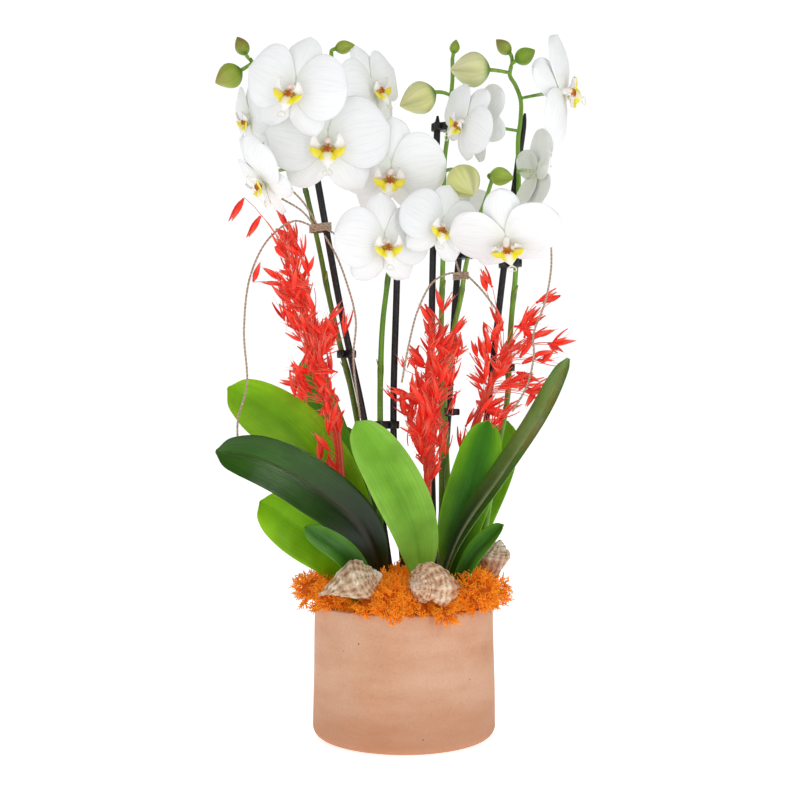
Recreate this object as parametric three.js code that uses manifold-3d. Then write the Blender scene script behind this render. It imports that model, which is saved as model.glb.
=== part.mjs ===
// A gift arrangement: five flowering spikes of white moth orchid in a round cast pot, tied to black
// stakes, dressed with dyed oats, jute twine, orange reindeer moss and three sea shells.
// Millimetres, +Z up. The origin is the centre of the pot's underside, and the front looks along -Y.

import * as THREE from 'three';
import { mergeVertices } from 'three/addons/utils/BufferGeometryUtils.js';
import Module from 'manifold-3d';

const wasm = await Module();
wasm.setup();

// Driving dimensions

const CLEARANCE = 0.35; // between pieces that touch
const SLIVER = 0.02; // edges that a cut leaves shorter than this are closed up
const PLAN_RADIUS = 68.65; // of the growing medium that the planting plan is drawn for
const PLAN_RIM_RADIUS = 78; // of the rim that the moss and shells are laid out for
const SPREAD_HEIGHT = 110; // from here up the plants stand as drawn, whatever the pot
const POT_RADIUS = 80;
const POT_HEIGHT = 115;
const POT_WALL = 9;
const POT_FLOOR = 12;
const POT_DRAFT = 2; // the rim's radius is this much smaller than the foot's
const POT_CORNER = 8; // radius of the rounded lower edge
const RIM_ROUND = 1.5;
const ROUND_SIDES = 32; // facets of the pot and of the medium in it
const MEDIUM_DROP = 9; // the growing medium's top below the rim
const MEDIUM_DOME = 5; // how much it rises in the middle
const ROOT_DEPTH = 4; // how far stems and leaves go down into the medium
const STEM_RADIUS = 3.1;
const STEM_TIP_RADIUS = 1.8;
const PEDICEL_RADIUS = 1.4;
const STAKE_RADIUS = 3;
const STAKE_DEPTH = 55; // how far a stake goes down into the medium
const STALK_BEND = 20; // a flower's stalk bends this far behind its heart
const BUD_BEND = 4; // and a bud's this far below it
const FLOWER_SPAN = 100; // across the two petals of a full-sized flower
const TEPAL_THICKNESS = 1.1;
const TEPAL_FOLD = 0.08; // rise of a tepal's edges, as a share of its half width
const COLUMN_RADIUS = 4.2; // the solid heart that every tepal grows from
const COLUMN_LENGTH = 9; // how far it stands out before the tepals
const LIP_THICKNESS = 2.4;
const LIP_FOLD = 0.35;
const LEAF_THICKNESS = 2.4;
const LEAF_FOLD = 0.22; // rise of a leaf's edges, as a share of its half width
const LEAF_NECK = 13; // width of a leaf where it leaves the crown
const CLIP_WALL = 2.2;
const CLIP_HEIGHT = 7;
const TWINE_RADIUS = 1;
const TWINE_STEP = 14; // between the rings of a strand
const KNOT_HEIGHT = 9;
const MOSS_CLEARANCE = 1.5; // round what stands in the moss
const OAT_STALK_RADIUS = 4.2;
const OAT_STRAW_RADIUS = 0.8;
const OAT_LENGTH = 23;
const OAT_WIDTH = 6.5;
const SIDES = { stake: 8, stem: 6, stalk: 4, bud: 6, shell: 10, twine: 8 }; // facets round each piece

const SOIL = POT_HEIGHT - MEDIUM_DROP;
const ROOTED = MEDIUM_DOME - MEDIUM_DROP - ROOT_DEPTH; // where stems and leaves start, from the rim's plane
const RIM_RADIUS = POT_RADIUS - POT_DRAFT;
const MEDIUM_RADIUS = RIM_RADIUS - POT_WALL - CLEARANCE;
const UP = new THREE.Vector3(0, 0, 1);
const TO_FRONT = new THREE.Vector3(0, -1, 0);

// Colours, sRGB

const COLOUR = {
  pot: 0xd9a587,
  medium: 0x4a3424,
  moss: 0xf27c14,
  shell: 0xcbb397,
  leaf: 0x5f9a1c,
  darkLeaf: 0x2b5412,
  stem: 0x6d9423,
  petal: 0xf4f4f5,
  stake: 0x1d1b1d,
  oats: 0xe63a26,
  twine: 0xa88e74,
};

const orchid = new THREE.Group();

function material(colour, roughness) {
  return new THREE.MeshStandardMaterial({ color: colour, roughness, metalness: 0 });
}

function add(name, geometry, colour, roughness = 0.6) {
  const mesh = new THREE.Mesh(geometry, material(colour, roughness));
  mesh.name = name;
  orchid.add(mesh);
  return mesh;
}

// A place above the plane of the pot's rim, so that the planting follows the pot's height. Near the
// ground the plan opens or closes up with the pot, and higher up the plants keep their own spread.
function above(x, y, height) {
  const share = THREE.MathUtils.clamp(height / SPREAD_HEIGHT, 0, 1);
  const spread = THREE.MathUtils.lerp(MEDIUM_RADIUS / PLAN_RADIUS, 1, share);
  return new THREE.Vector3(x * spread, y * spread, POT_HEIGHT + height);
}

// A place that keeps its distance to the rim.
function byRim(x, y, height) {
  const spread = RIM_RADIUS / PLAN_RIM_RADIUS;
  return new THREE.Vector3(x * spread, y * spread, POT_HEIGHT + height);
}

function routeOf(points) {
  return new THREE.CatmullRomCurve3(points.map((p) => above(...p)), false, 'centripetal');
}

// Solids: joining and cutting

function solidOf(geometry) {
  const bare = geometry.clone();
  bare.deleteAttribute('normal');
  bare.deleteAttribute('uv');
  const merged = mergeVertices(bare, 1e-4);
  return new wasm.Manifold(new wasm.Mesh({
    numProp: 3,
    vertProperties: new Float32Array(merged.attributes.position.array),
    triVerts: new Uint32Array(merged.index.array),
  }));
}

function geometryOf(solid) {
  const mesh = solid.getMesh();
  const geometry = new THREE.BufferGeometry();
  geometry.setAttribute('position', new THREE.BufferAttribute(mesh.vertProperties, 3));
  geometry.setIndex(new THREE.BufferAttribute(mesh.triVerts, 1));
  geometry.computeVertexNormals();
  return geometry;
}

function joined(geometries) {
  let whole = solidOf(geometries[0]);
  for (const geometry of geometries.slice(1)) {
    whole = whole.add(solidOf(geometry));
  }
  return geometryOf(whole);
}

// The same shape with its skin moved outwards by a margin.
function grown(geometry, margin) {
  const bare = geometry.clone();
  bare.deleteAttribute('normal');
  bare.deleteAttribute('uv');
  const fat = mergeVertices(bare, 1e-4);
  fat.computeVertexNormals();
  const place = fat.attributes.position;
  const normal = fat.attributes.normal;
  for (let i = 0; i < place.count; i += 1) {
    place.setXYZ(
      i,
      place.getX(i) + margin * normal.getX(i),
      place.getY(i) + margin * normal.getY(i),
      place.getZ(i) + margin * normal.getZ(i),
    );
  }
  return fat;
}

function placed(mesh) {
  mesh.updateMatrix();
  return mesh.geometry.clone().applyMatrix4(mesh.matrix);
}

function boxesMeet(a, b) {
  a.computeBoundingBox();
  b.computeBoundingBox();
  return a.boundingBox.intersectsBox(b.boundingBox);
}

// What is left of a shape when the neighbours, each a little larger than it is, are cut out of it.
// Crumbs that a cut leaves loose are dropped, so that one body stays.
function carved(geometry, neighbours, margin = 2 * CLEARANCE) {
  let rest = solidOf(geometry);
  for (const neighbour of neighbours) {
    const fat = neighbour.userData.room ?? grown(placed(neighbour), margin);
    if (boxesMeet(geometry, fat)) {
      rest = rest.subtract(solidOf(fat));
    }
  }
  const pieces = rest.simplify(SLIVER).decompose();
  pieces.sort((a, b) => b.volume() - a.volume());
  return geometryOf(pieces[0]);
}

// Skins carried along a line

// A closed skin over a row of rings. Each ring runs anticlockwise, seen from where the row ends.
function loft(rings) {
  const sides = rings[0].length;
  const points = rings.flat();
  const faces = [];
  for (let row = 0; row + 1 < rings.length; row += 1) {
    for (let side = 0; side < sides; side += 1) {
      const a = row * sides + side;
      const b = row * sides + ((side + 1) % sides);
      faces.push(a, b, b + sides, a, b + sides, a + sides);
    }
  }
  const last = (rings.length - 1) * sides;
  for (let side = 1; side + 1 < sides; side += 1) {
    faces.push(0, side + 1, side);
    faces.push(last, last + side, last + side + 1);
  }
  const geometry = new THREE.BufferGeometry();
  const places = points.flatMap((p) => p.toArray());
  geometry.setAttribute('position', new THREE.Float32BufferAttribute(places, 3));
  geometry.setIndex(faces);
  geometry.computeVertexNormals();
  return geometry;
}

function around(centre, first, second, radius, sides) {
  return Array.from({ length: sides }, (_, i) => {
    const angle = (2 * Math.PI * i) / sides;
    return centre.clone()
      .addScaledVector(first, radius * Math.cos(angle))
      .addScaledVector(second, radius * Math.sin(angle));
  });
}

// A round tube whose radius follows radiusAt(0..1).
function tube(curve, radiusAt, sides, steps) {
  const frames = curve.computeFrenetFrames(steps, false);
  const rings = [];
  for (let i = 0; i <= steps; i += 1) {
    const centre = curve.getPointAt(i / steps);
    rings.push(around(centre, frames.normals[i], frames.binormals[i], radiusAt(i / steps), sides));
  }
  return loft(rings);
}

// A round body about a straight axis: profile is a list of [share of the length, radius].
function turned(start, direction, length, profile, sides) {
  const axis = direction.clone().normalize();
  const aside = Math.abs(axis.z) < 0.9 ? UP : TO_FRONT;
  const first = aside.clone().cross(axis).normalize();
  const second = axis.clone().cross(first);
  return loft(profile.map(([share, radius]) => {
    const centre = start.clone().addScaledVector(axis, share * length);
    return around(centre, first, second, radius, sides);
  }));
}

// Sections of a blade: [share of the half width, share of the half thickness]
const SIX_SIDED = [[1, 0], [0.5, 1], [-0.5, 1], [-1, 0], [-0.5, -1], [0.5, -1]];
const FOUR_SIDED = [[1, 0], [0, 1], [-1, 0], [0, -1]];

// A thin blade. The stations say how wide it is along its curve: [share of the length, half width].
// The face looks along facing, the sides rise by fold, and the section is thickest in the middle.
// The blade starts that far ahead of its curve.
function blade(curve, facing, stations, thickness, fold, section = SIX_SIDED, ahead = 0) {
  const rings = stations.map(([share, halfWidth]) => {
    const tangent = curve.getTangentAt(share);
    const centre = curve.getPointAt(share).addScaledVector(tangent, share === 0 ? -ahead : 0);
    const normal = facing.clone().addScaledVector(tangent, -facing.dot(tangent)).normalize();
    const across = normal.clone().cross(tangent);
    return section.map(([side, level]) => centre.clone()
      .addScaledVector(across, side * halfWidth)
      .addScaledVector(normal, (level * thickness) / 2 + fold * side * side * halfWidth));
  });
  return loft(rings);
}

// Pot and growing medium

function potProfile() {
  const inner = RIM_RADIUS - POT_WALL;
  const quarter = (centreX, centreZ, radius, from) => [0, 0.5, 1].map((share) => {
    const angle = from + (share * Math.PI) / 2;
    return new THREE.Vector2(centreX + radius * Math.cos(angle), centreZ + radius * Math.sin(angle));
  });
  return [
    new THREE.Vector2(0, 0),
    ...quarter(POT_RADIUS - POT_CORNER, POT_CORNER, POT_CORNER, -Math.PI / 2),
    ...quarter(RIM_RADIUS - RIM_ROUND, POT_HEIGHT - RIM_ROUND, RIM_ROUND, 0),
    new THREE.Vector2(inner, POT_HEIGHT),
    new THREE.Vector2(inner, POT_FLOOR),
    new THREE.Vector2(0, POT_FLOOR),
  ];
}

function lathe(profile, segments) {
  return new THREE.LatheGeometry(profile, segments).rotateX(Math.PI / 2);
}

const pot = add('pot', lathe(potProfile(), ROUND_SIDES), COLOUR.pot, 0.85);

// Stakes: straight black rods, a little bent, pushed into the medium

const stakeRoutes = {
  stake_left: [[-10, 16, 2], [-34, 16, 152], [-56, 13, 257], [-79, 8, 385]],
  stake_centre: [[1, 24, 2], [-9, 19, 137], [-6, 17, 297]],
  stake_mid: [[28, 35, 2], [25, 33, 150], [26, 26, 302], [30, 14, 430]],
  stake_mid_rear: [[31, 48, 2], [41, 44, 168], [50, 35, 306], [55, 31, 338]],
  stake_right: [[54, 30, 2], [75, 36, 159], [91, 35, 299], [109, 26, 435]],
};

const stakes = {};
for (const [name, points] of Object.entries(stakeRoutes)) {
  const [x, y] = points[0];
  const curve = routeOf([[x, y, SOIL - STAKE_DEPTH - POT_HEIGHT], ...points]);
  const rod = tube(curve, () => STAKE_RADIUS, SIDES.stake, 6);
  stakes[name] = { curve, mesh: add(name, rod, COLOUR.stake, 0.35) };
}

// Flowering spikes: a stem with the flower stalks and the buds that grew on it

const spikeRoutes = {
  spike_left: [
    [-14, 30, ROOTED], [-24, 28, 66], [-37, 26, 132], [-48, 22, 190], [-58, 17, 230], [-67, 14, 270],
    [-76, 12, 315], [-84, 10, 350], [-91, 9, 379], [-97, 12, 412], [-105, 14, 444], [-117, 10, 463],
    [-130, 4, 470], [-136, 2, 478],
  ],
  spike_centre: [
    [-20, 8, ROOTED], [-21, 8, 69], [-21, 10, 141], [-21, 14, 195], [-19, 18, 245], [-15, 18, 280],
    [-12, 18, 310], [-13, 16, 345], [-18, 14, 380], [-28, 14, 413], [-46, 12, 444], [-58, 8, 460],
    [-63, 4, 472], [-64, 0, 483],
  ],
  spike_mid: [
    [34, 23, ROOTED], [34, 22, 69], [34, 22, 141], [33, 21, 213], [34, 20, 267], [35, 19, 307],
    [36, 17, 351], [36, 12, 388], [39, 10, 414], [41, 11, 439], [43, 10, 461], [43, 10, 480],
  ],
  spike_mid_rear: [
    [42, 32, ROOTED], [41, 34, 64], [38, 34, 141], [37, 34, 177], [41, 33, 215], [46, 31, 245],
    [51, 28, 267], [55, 24, 294], [60, 20, 316], [67, 16, 340], [73, 12, 356], [78, 8, 372],
  ],
  spike_right: [
    [60, 18, ROOTED], [74, 24, 69], [86, 26, 141], [93, 26, 177], [95, 26, 222], [97, 26, 253],
    [100, 25, 285], [102, 24, 325], [103, 22, 370], [102, 18, 410], [104, 16, 427], [104, 14, 444],
    [99, 12, 457], [94, 10, 465], [95, 8, 473],
  ],
};

// Buds: where the middle is, the way the tip points, length and greatest radius
const buds = [
  { spike: 'spike_left', at: [-154, -2, 461], points: [-1, 0, -0.5], length: 26, radius: 12 },
  { spike: 'spike_left', at: [-143, 2, 489], points: [-0.5, 0, 1], length: 18, radius: 7 },
  { spike: 'spike_centre', at: [-52, -2, 487], points: [1, 0, 0.2], length: 18, radius: 6.5 },
  { spike: 'spike_mid', at: [12, -4, 441], points: [-1, 0, -0.4], length: 34, radius: 15.5 },
  { spike: 'spike_mid', at: [52, -26, 364], points: [0.4, -0.5, -0.7], length: 34, radius: 15.5 },
  { spike: 'spike_mid', at: [45, 8, 490], points: [0.2, 0, 1], length: 13, radius: 5 },
  { spike: 'spike_mid_rear', at: [86, 2, 374], points: [1, -0.3, -0.2], length: 22, radius: 9 },
  { spike: 'spike_right', at: [58, -6, 466], points: [-1, 0, 0], length: 35, radius: 16.5 },
  { spike: 'spike_right', at: [88, 8, 490], points: [-0.8, 0, 0.8], length: 18, radius: 6.5 },
  { spike: 'spike_right', at: [107, 4, 481], points: [0.9, 0, 0.5], length: 20, radius: 8.5 },
];

// Flowers: where the heart is and how it looks. turn swings the face to +X, tilt lifts it, roll turns
// it clockwise as its viewer sees it, all in degrees, and size is a share of the full span.
const flowers = [
  { spike: 'spike_left', at: [-92, -52, 438], turn: -20, tilt: -5, roll: 16, size: 0.92 },
  { spike: 'spike_centre', at: [-65, -30, 397], turn: 0, tilt: -5, roll: 0, size: 1.05 },
  { spike: 'spike_left', at: [-122, -24, 368], turn: -65, tilt: -33, roll: -20, size: 0.85 },
  { spike: 'spike_left', at: [-136, 10, 428], turn: -60, tilt: -10, roll: 10, size: 0.72 },
  { spike: 'spike_centre', at: [-27, -6, 450], turn: 50, tilt: 5, roll: -20, size: 0.8 },
  { spike: 'spike_centre', at: [-11, -15, 375], turn: -8, tilt: -20, roll: 4, size: 0.94 },
  { spike: 'spike_centre', at: [-17, -40, 311], turn: 22, tilt: -5, roll: -4, size: 0.86 },
  { spike: 'spike_mid', at: [31, -38, 325], turn: 20, tilt: -6, roll: 12, size: 0.74 },
  { spike: 'spike_mid', at: [52, -28, 415], turn: -55, tilt: 0, roll: 45, size: 0.7 },
  { spike: 'spike_right', at: [67, 0, 420], turn: -62, tilt: 5, roll: -30, size: 0.72 },
  { spike: 'spike_right', at: [137, -4, 447], turn: 65, tilt: 0, roll: -80, size: 0.96 },
  { spike: 'spike_right', at: [115, -16, 374], turn: 112, tilt: -8, roll: -82, size: 0.74 },
  { spike: 'spike_mid_rear', at: [86, -52, 313], turn: -8, tilt: -52, roll: -10, size: 0.94 },
  { spike: 'spike_mid_rear', at: [48, 44, 342], turn: 168, tilt: -8, roll: 0, size: 0.75 },
];

function turnOf(flower) {
  const radians = THREE.MathUtils.degToRad;
  return new THREE.Euler(-radians(flower.tilt), radians(flower.roll), radians(flower.turn), 'ZXY');
}

function backOf(flower) {
  return TO_FRONT.clone().negate().applyEuler(turnOf(flower));
}

function nearestOn(curve, point) {
  const points = curve.getSpacedPoints(120);
  const distances = points.map((p) => p.distanceTo(point));
  return points[distances.indexOf(Math.min(...distances))];
}

// The stalk of one flower, from the stem to just behind the flower's heart.
function flowerStalk(flower, stem) {
  const back = backOf(flower);
  const heart = above(...flower.at);
  const end = heart.clone().addScaledVector(back, COLUMN_RADIUS * flower.size + CLEARANCE);
  const bend = heart.clone().addScaledVector(back, STALK_BEND);
  const start = nearestOn(stem, bend);
  const curve = new THREE.QuadraticBezierCurve3(start, bend, end);
  return tube(curve, () => PEDICEL_RADIUS, SIDES.stalk, 3);
}

const BUD_OUTLINE = [[0, 0.3], [0.25, 0.85], [0.55, 1], [0.82, 0.72], [1, 0.2]];

function budWithStalk(bud, stem) {
  const direction = new THREE.Vector3(...bud.points).normalize();
  const middle = above(...bud.at);
  const base = middle.clone().addScaledVector(direction, -bud.length / 2);
  const start = nearestOn(stem, base);
  const profile = BUD_OUTLINE.map(([share, wide]) => [share, wide * bud.radius]);
  const body = turned(base, direction, bud.length, profile, SIDES.bud);
  const inside = middle.clone().addScaledVector(direction, -bud.length / 4);
  const bend = base.clone().addScaledVector(direction, -BUD_BEND);
  const line = new THREE.QuadraticBezierCurve3(start, bend, inside);
  const stalk = tube(line, () => PEDICEL_RADIUS, SIDES.stalk, 2);
  return joined([body, stalk]);
}

const stems = {};
for (const [name, points] of Object.entries(spikeRoutes)) {
  const curve = routeOf(points);
  const stemRadius = (share) => THREE.MathUtils.lerp(STEM_RADIUS, STEM_TIP_RADIUS, share);
  const grewHere = (one) => one.spike === name;
  const stalks = flowers.filter(grewHere).map((flower) => flowerStalk(flower, curve));
  const tips = buds.filter(grewHere).map((bud) => budWithStalk(bud, curve));
  const whole = joined([tube(curve, stemRadius, SIDES.stem, 16), ...stalks, ...tips]);
  stems[name] = { curve, mesh: add(name, whole, COLOUR.stem, 0.5) };
}

// A flower that looks along -Y: three sepals behind, two broad petals before them, lip and column.
function flowerShape() {
  const half = FLOWER_SPAN / 2;
  const tepal = (angle, length, width, depth, sweep, outline) => {
    const radians = THREE.MathUtils.degToRad(angle);
    const out = new THREE.Vector3(Math.sin(radians), 0, Math.cos(radians));
    const curve = new THREE.QuadraticBezierCurve3(
      new THREE.Vector3(0, depth, 0),
      out.clone().multiplyScalar(length * 0.5).setY(depth - 1),
      out.clone().multiplyScalar(length).setY(depth + sweep),
    );
    const stations = outline.map(([share, wide]) => [share, (wide * width) / 2]);
    return blade(curve, TO_FRONT, stations, TEPAL_THICKNESS, TEPAL_FOLD, FOUR_SIDED);
  };
  const petal = [[0, 0.12], [0.32, 0.85], [0.72, 0.98], [1, 0.3]];
  const sepal = [[0, 0.25], [0.55, 1], [1, 0.3]];
  const heart = turned(
    new THREE.Vector3(0, COLUMN_RADIUS, 0),
    TO_FRONT,
    COLUMN_RADIUS + COLUMN_LENGTH,
    [[0, COLUMN_RADIUS * 0.6], [0.35, COLUMN_RADIUS], [1, COLUMN_RADIUS * 0.5]],
    6,
  );
  const lipCurve = new THREE.QuadraticBezierCurve3(
    new THREE.Vector3(0, -1, -1),
    new THREE.Vector3(0, -12, -8),
    new THREE.Vector3(0, -11, -21),
  );
  const lipWidths = [[0, 3], [0.5, 9], [1, 2]];
  const lip = blade(lipCurve, TO_FRONT, lipWidths, LIP_THICKNESS, LIP_FOLD, FOUR_SIDED);
  return joined([
    heart,
    tepal(72, half, FLOWER_SPAN * 0.56, -1.2, 3, petal),
    tepal(-72, half, FLOWER_SPAN * 0.56, -1.2, 3, petal),
    tepal(0, half * 0.92, FLOWER_SPAN * 0.34, 1.4, 6, sepal),
    tepal(145, half * 0.9, FLOWER_SPAN * 0.31, 1.4, 5, sepal),
    tepal(-145, half * 0.9, FLOWER_SPAN * 0.31, 1.4, 5, sepal),
    lip,
  ]);
}

const flowerGeometry = flowerShape();
flowers.forEach((flower, i) => {
  const number = String(i + 1).padStart(2, '0');
  const mesh = add(`flower_${number}`, flowerGeometry, COLOUR.petal, 0.55);
  mesh.position.copy(above(...flower.at));
  mesh.rotation.copy(turnOf(flower));
  mesh.scale.setScalar(flower.size);
});

// Leaves: the line of the midrib from crown to tip, the way the upper face looks, and the width

const LEAF_OUTLINE = [[0, 0], [0.16, 0.3], [0.36, 0.8], [0.6, 1], [0.82, 0.88], [0.95, 0.54], [1, 0.12]];
const leaves = {
  leaf_left_broad: {
    rib: [[-36, 12, ROOTED], [-50, 10, 75], [-92, 6, 142], [-130, 2, 172], [-155, 0, 188]],
    faces: [0.1, -1, 0.15], width: 56, colour: COLOUR.leaf,
  },
  leaf_left_dark: {
    rib: [[-12, -10, ROOTED], [-34, -22, 62], [-80, -38, 104], [-119, -48, 125], [-158, -54, 134]],
    faces: [-0.05, -1, 0.3], width: 46, colour: COLOUR.darkLeaf,
  },
  leaf_left_narrow: {
    rib: [[-18, -27, ROOTED], [-46, -38, 41], [-84, -48, 70]],
    faces: [0, -0.85, 0.5], width: 22, colour: COLOUR.darkLeaf,
  },
  leaf_left_low: {
    rib: [[-34, -8, ROOTED], [-60, -16, 42], [-94, -22, 68], [-124, -26, 90]],
    faces: [0, -1, 0.3], width: 48, colour: COLOUR.leaf,
  },
  leaf_rear_tall: {
    rib: [[-32, 46, ROOTED], [-52, 48, 95], [-76, 48, 168], [-91, 46, 217]],
    faces: [0, -1, 0], width: 36, colour: COLOUR.leaf,
  },
  leaf_rear_centre: {
    rib: [[-14, 54, ROOTED], [-37, 56, 67], [-48, 58, 117], [-58, 58, 154]],
    faces: [0, -1, 0], width: 34, colour: COLOUR.leaf,
  },
  leaf_front: {
    rib: [[16, -18, ROOTED], [10, -28, 61], [-12, -40, 113], [-41, -48, 159]],
    faces: [0.15, -1, 0.25], width: 46, colour: COLOUR.leaf,
  },
  leaf_right_round: {
    rib: [[38, 6, ROOTED], [48, 4, 62], [62, 2, 111], [74, 0, 159]],
    faces: [0, -1, 0], width: 42, colour: COLOUR.leaf,
  },
  leaf_right_rear: {
    rib: [[44, 42, ROOTED], [68, 46, 76], [86, 48, 122], [95, 46, 158]],
    faces: [0, -1, 0], width: 36, colour: COLOUR.leaf,
  },
  leaf_right_long: {
    rib: [[26, -8, ROOTED], [47, -17, 56], [87, -24, 117], [117, -24, 164], [142, -20, 213]],
    faces: [-0.85, -0.45, 0.3], width: 34, colour: COLOUR.darkLeaf,
  },
  leaf_right_low: {
    rib: [[38, -30, ROOTED], [57, -42, 42], [84, -48, 72]],
    faces: [-0.3, -0.5, 0.8], width: 24, colour: COLOUR.darkLeaf,
  },
};

// A leaf, or with a margin the room that it needs in what it stands in.
function leafShape(leaf, margin = 0) {
  const facing = new THREE.Vector3(...leaf.faces).normalize();
  const stations = LEAF_OUTLINE.map(([share, wide]) => {
    const least = share < 0.5 ? LEAF_NECK : 0;
    return [share, Math.max(wide * leaf.width, least) / 2 + 2 * margin];
  });
  const thickness = LEAF_THICKNESS + 4 * margin;
  return blade(routeOf(leaf.rib), facing, stations, thickness, LEAF_FOLD, SIX_SIDED, margin);
}

const leafMeshes = Object.entries(leaves).map(([name, leaf]) => {
  const mesh = add(name, leafShape(leaf), leaf.colour, 0.35);
  mesh.userData.room = leafShape(leaf, CLEARANCE);
  return mesh;
});

// Clips: small black blocks that hold a stem to its stake

const clips = {
  clip_left: { stem: 'spike_left', stake: 'stake_left', height: 217 },
  clip_centre: { stem: 'spike_centre', stake: 'stake_centre', height: 155 },
  clip_mid_top: { stem: 'spike_mid', stake: 'stake_mid', height: 420 },
  clip_mid_rear: { stem: 'spike_mid_rear', stake: 'stake_mid_rear', height: 308 },
  clip_mid_low: { stem: 'spike_mid_rear', stake: 'stake_mid_rear', height: 165 },
  clip_right_low: { stem: 'spike_right', stake: 'stake_right', height: 207 },
  clip_right_mid: { stem: 'spike_right', stake: 'stake_right', height: 299 },
};

function pointAtHeight(curve, height) {
  const points = curve.getSpacedPoints(200);
  const gaps = points.map((p) => Math.abs(p.z - POT_HEIGHT - height));
  return points[gaps.indexOf(Math.min(...gaps))];
}

// A block round a stem and its stake with a hole for each.
function band(stem, stake, height, wall, tall) {
  const first = pointAtHeight(stem.curve, height);
  const second = pointAtHeight(stake.curve, height);
  const across = second.clone().sub(first).setZ(0);
  const radius = Math.max(STEM_RADIUS, STAKE_RADIUS) + CLEARANCE + wall;
  const middle = first.clone().add(second).multiplyScalar(0.5);
  const shape = new THREE.BoxGeometry(across.length() + 2 * radius, 2 * radius, tall)
    .rotateZ(Math.atan2(across.y, across.x))
    .translate(middle.x, middle.y, POT_HEIGHT + height);
  return carved(shape, [stem.mesh, stake.mesh]);
}

for (const [name, clip] of Object.entries(clips)) {
  const shape = band(stems[clip.stem], stakes[clip.stake], clip.height, CLIP_WALL, CLIP_HEIGHT);
  add(name, shape, COLOUR.stake, 0.4);
}

// Dyed oats: a bound stalk with pointed husks on thin straws

const oats = {
  oats_left: {
    stalk: [
      [-48, 8, ROOTED], [-53, 1, 63], [-55, -3, 107], [-60, -6, 151], [-72, -8, 190], [-84, -12, 238],
      [-92, -14, 285],
    ],
    husks: [
      [-150, -16, 333], [-136, -14, 318], [-112, -20, 322], [-112, 4, 346], [-90, -22, 322],
      [-123, -22, 292], [-98, -28, 288], [-106, -10, 262], [-80, -20, 280], [-92, -26, 250],
      [-73, -8, 250], [-76, -24, 222], [-66, -20, 190], [-102, -14, 204], [-78, -22, 148],
      [-52, -12, 262],
    ],
  },
  oats_centre: {
    stalk: [[22, 10, ROOTED], [21, 8, 71], [21, 6, 133], [22, 4, 186], [25, 4, 230]],
    husks: [
      [28, -2, 276], [14, 8, 262], [40, 4, 246], [4, 2, 224], [24, -10, 222], [46, -4, 216], [9, -12, 196],
      [-14, -6, 188], [-4, 10, 182], [26, -14, 180], [46, 4, 188], [5, 6, 158], [38, -8, 154], [54, 4, 248],
    ],
  },
  oats_right: {
    stalk: [[47, 17, ROOTED], [50, 16, 70], [58, 15, 133], [72, 12, 177], [88, 10, 215]],
    husks: [
      [68, 4, 296], [72, 2, 238], [60, 8, 220], [80, -6, 212], [94, 8, 232], [118, 6, 259], [135, 2, 274],
      [128, -4, 238], [150, 2, 229], [138, 6, 212], [113, 0, 200], [90, 0, 180], [126, -6, 186],
      [106, 8, 176], [66, 16, 190],
    ],
  },
};

// One straw with the husk at its end, as a single spindle.
function huskWithStraw(tip, stalk) {
  const start = nearestOn(stalk, tip.clone().addScaledVector(UP, -OAT_LENGTH));
  const direction = tip.clone().sub(start);
  const length = direction.length();
  const neck = 1 - OAT_LENGTH / length;
  const profile = [
    [0, OAT_STRAW_RADIUS],
    [neck, OAT_STRAW_RADIUS],
    [neck + (1 - neck) * 0.4, OAT_WIDTH / 2],
    [1, OAT_STRAW_RADIUS / 2],
  ];
  return turned(start, direction, length, profile, 4);
}

const oatMeshes = Object.entries(oats).map(([name, bunch]) => {
  const curve = routeOf(bunch.stalk);
  const thickness = (share) => OAT_STALK_RADIUS * (1 - 0.7 * share);
  const husks = bunch.husks.map((p) => huskWithStraw(above(...p), curve));
  return add(name, joined([tube(curve, thickness, 6, 7), ...husks]), COLOUR.oats, 0.7);
});

// Growing medium, with a socket for everything that is planted in it

const mediumProfile = [
  new THREE.Vector2(0, POT_FLOOR + CLEARANCE),
  new THREE.Vector2(MEDIUM_RADIUS, POT_FLOOR + CLEARANCE),
  new THREE.Vector2(MEDIUM_RADIUS, SOIL),
  new THREE.Vector2(MEDIUM_RADIUS / 2, SOIL + MEDIUM_DOME),
  new THREE.Vector2(0, SOIL + MEDIUM_DOME),
];
const planted = [
  ...Object.values(stakes).map((stake) => stake.mesh),
  ...Object.values(stems).map((stem) => stem.mesh),
  ...leafMeshes,
  ...oatMeshes,
];
const filling = carved(lathe(mediumProfile, ROUND_SIDES), planted);
const medium = add('growing_medium', filling, COLOUR.medium, 0.95);

// Shells: a whelk's outline turned about its axis, from the spire to the canal

const shells = {
  shell_left: { at: [-44, -60, 22], points: [-1, -0.1, -0.35], length: 56, radius: 19 },
  shell_front: { at: [27, -62, 20], points: [1, 0.15, 0.1], length: 52, radius: 20.5 },
  shell_right: { at: [76, -16, 32], points: [-0.25, 0.1, -1], length: 50, radius: 15 },
};
const WHELK = [[0, 0.12], [0.1, 0.36], [0.14, 0.5], [0.3, 1], [0.55, 0.92], [0.8, 0.5], [1, 0.16]];

const shellMeshes = Object.entries(shells).map(([name, shell]) => {
  const direction = new THREE.Vector3(...shell.points).normalize();
  const start = byRim(...shell.at).addScaledVector(direction, -shell.length / 2);
  const profile = WHELK.map(([share, wide]) => [share, wide * shell.radius]);
  const whole = turned(start, direction, shell.length, profile, SIDES.shell);
  return add(name, carved(whole, [pot, medium, ...leafMeshes]), COLOUR.shell, 0.7);
});

// Jute twine: two knots with short ends, and the long ends that hang from them

function cordAlong(points) {
  const curve = routeOf(points);
  const steps = Math.max(2, Math.round(curve.getLength() / TWINE_STEP));
  return tube(curve, () => TWINE_RADIUS, SIDES.twine, steps);
}

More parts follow.
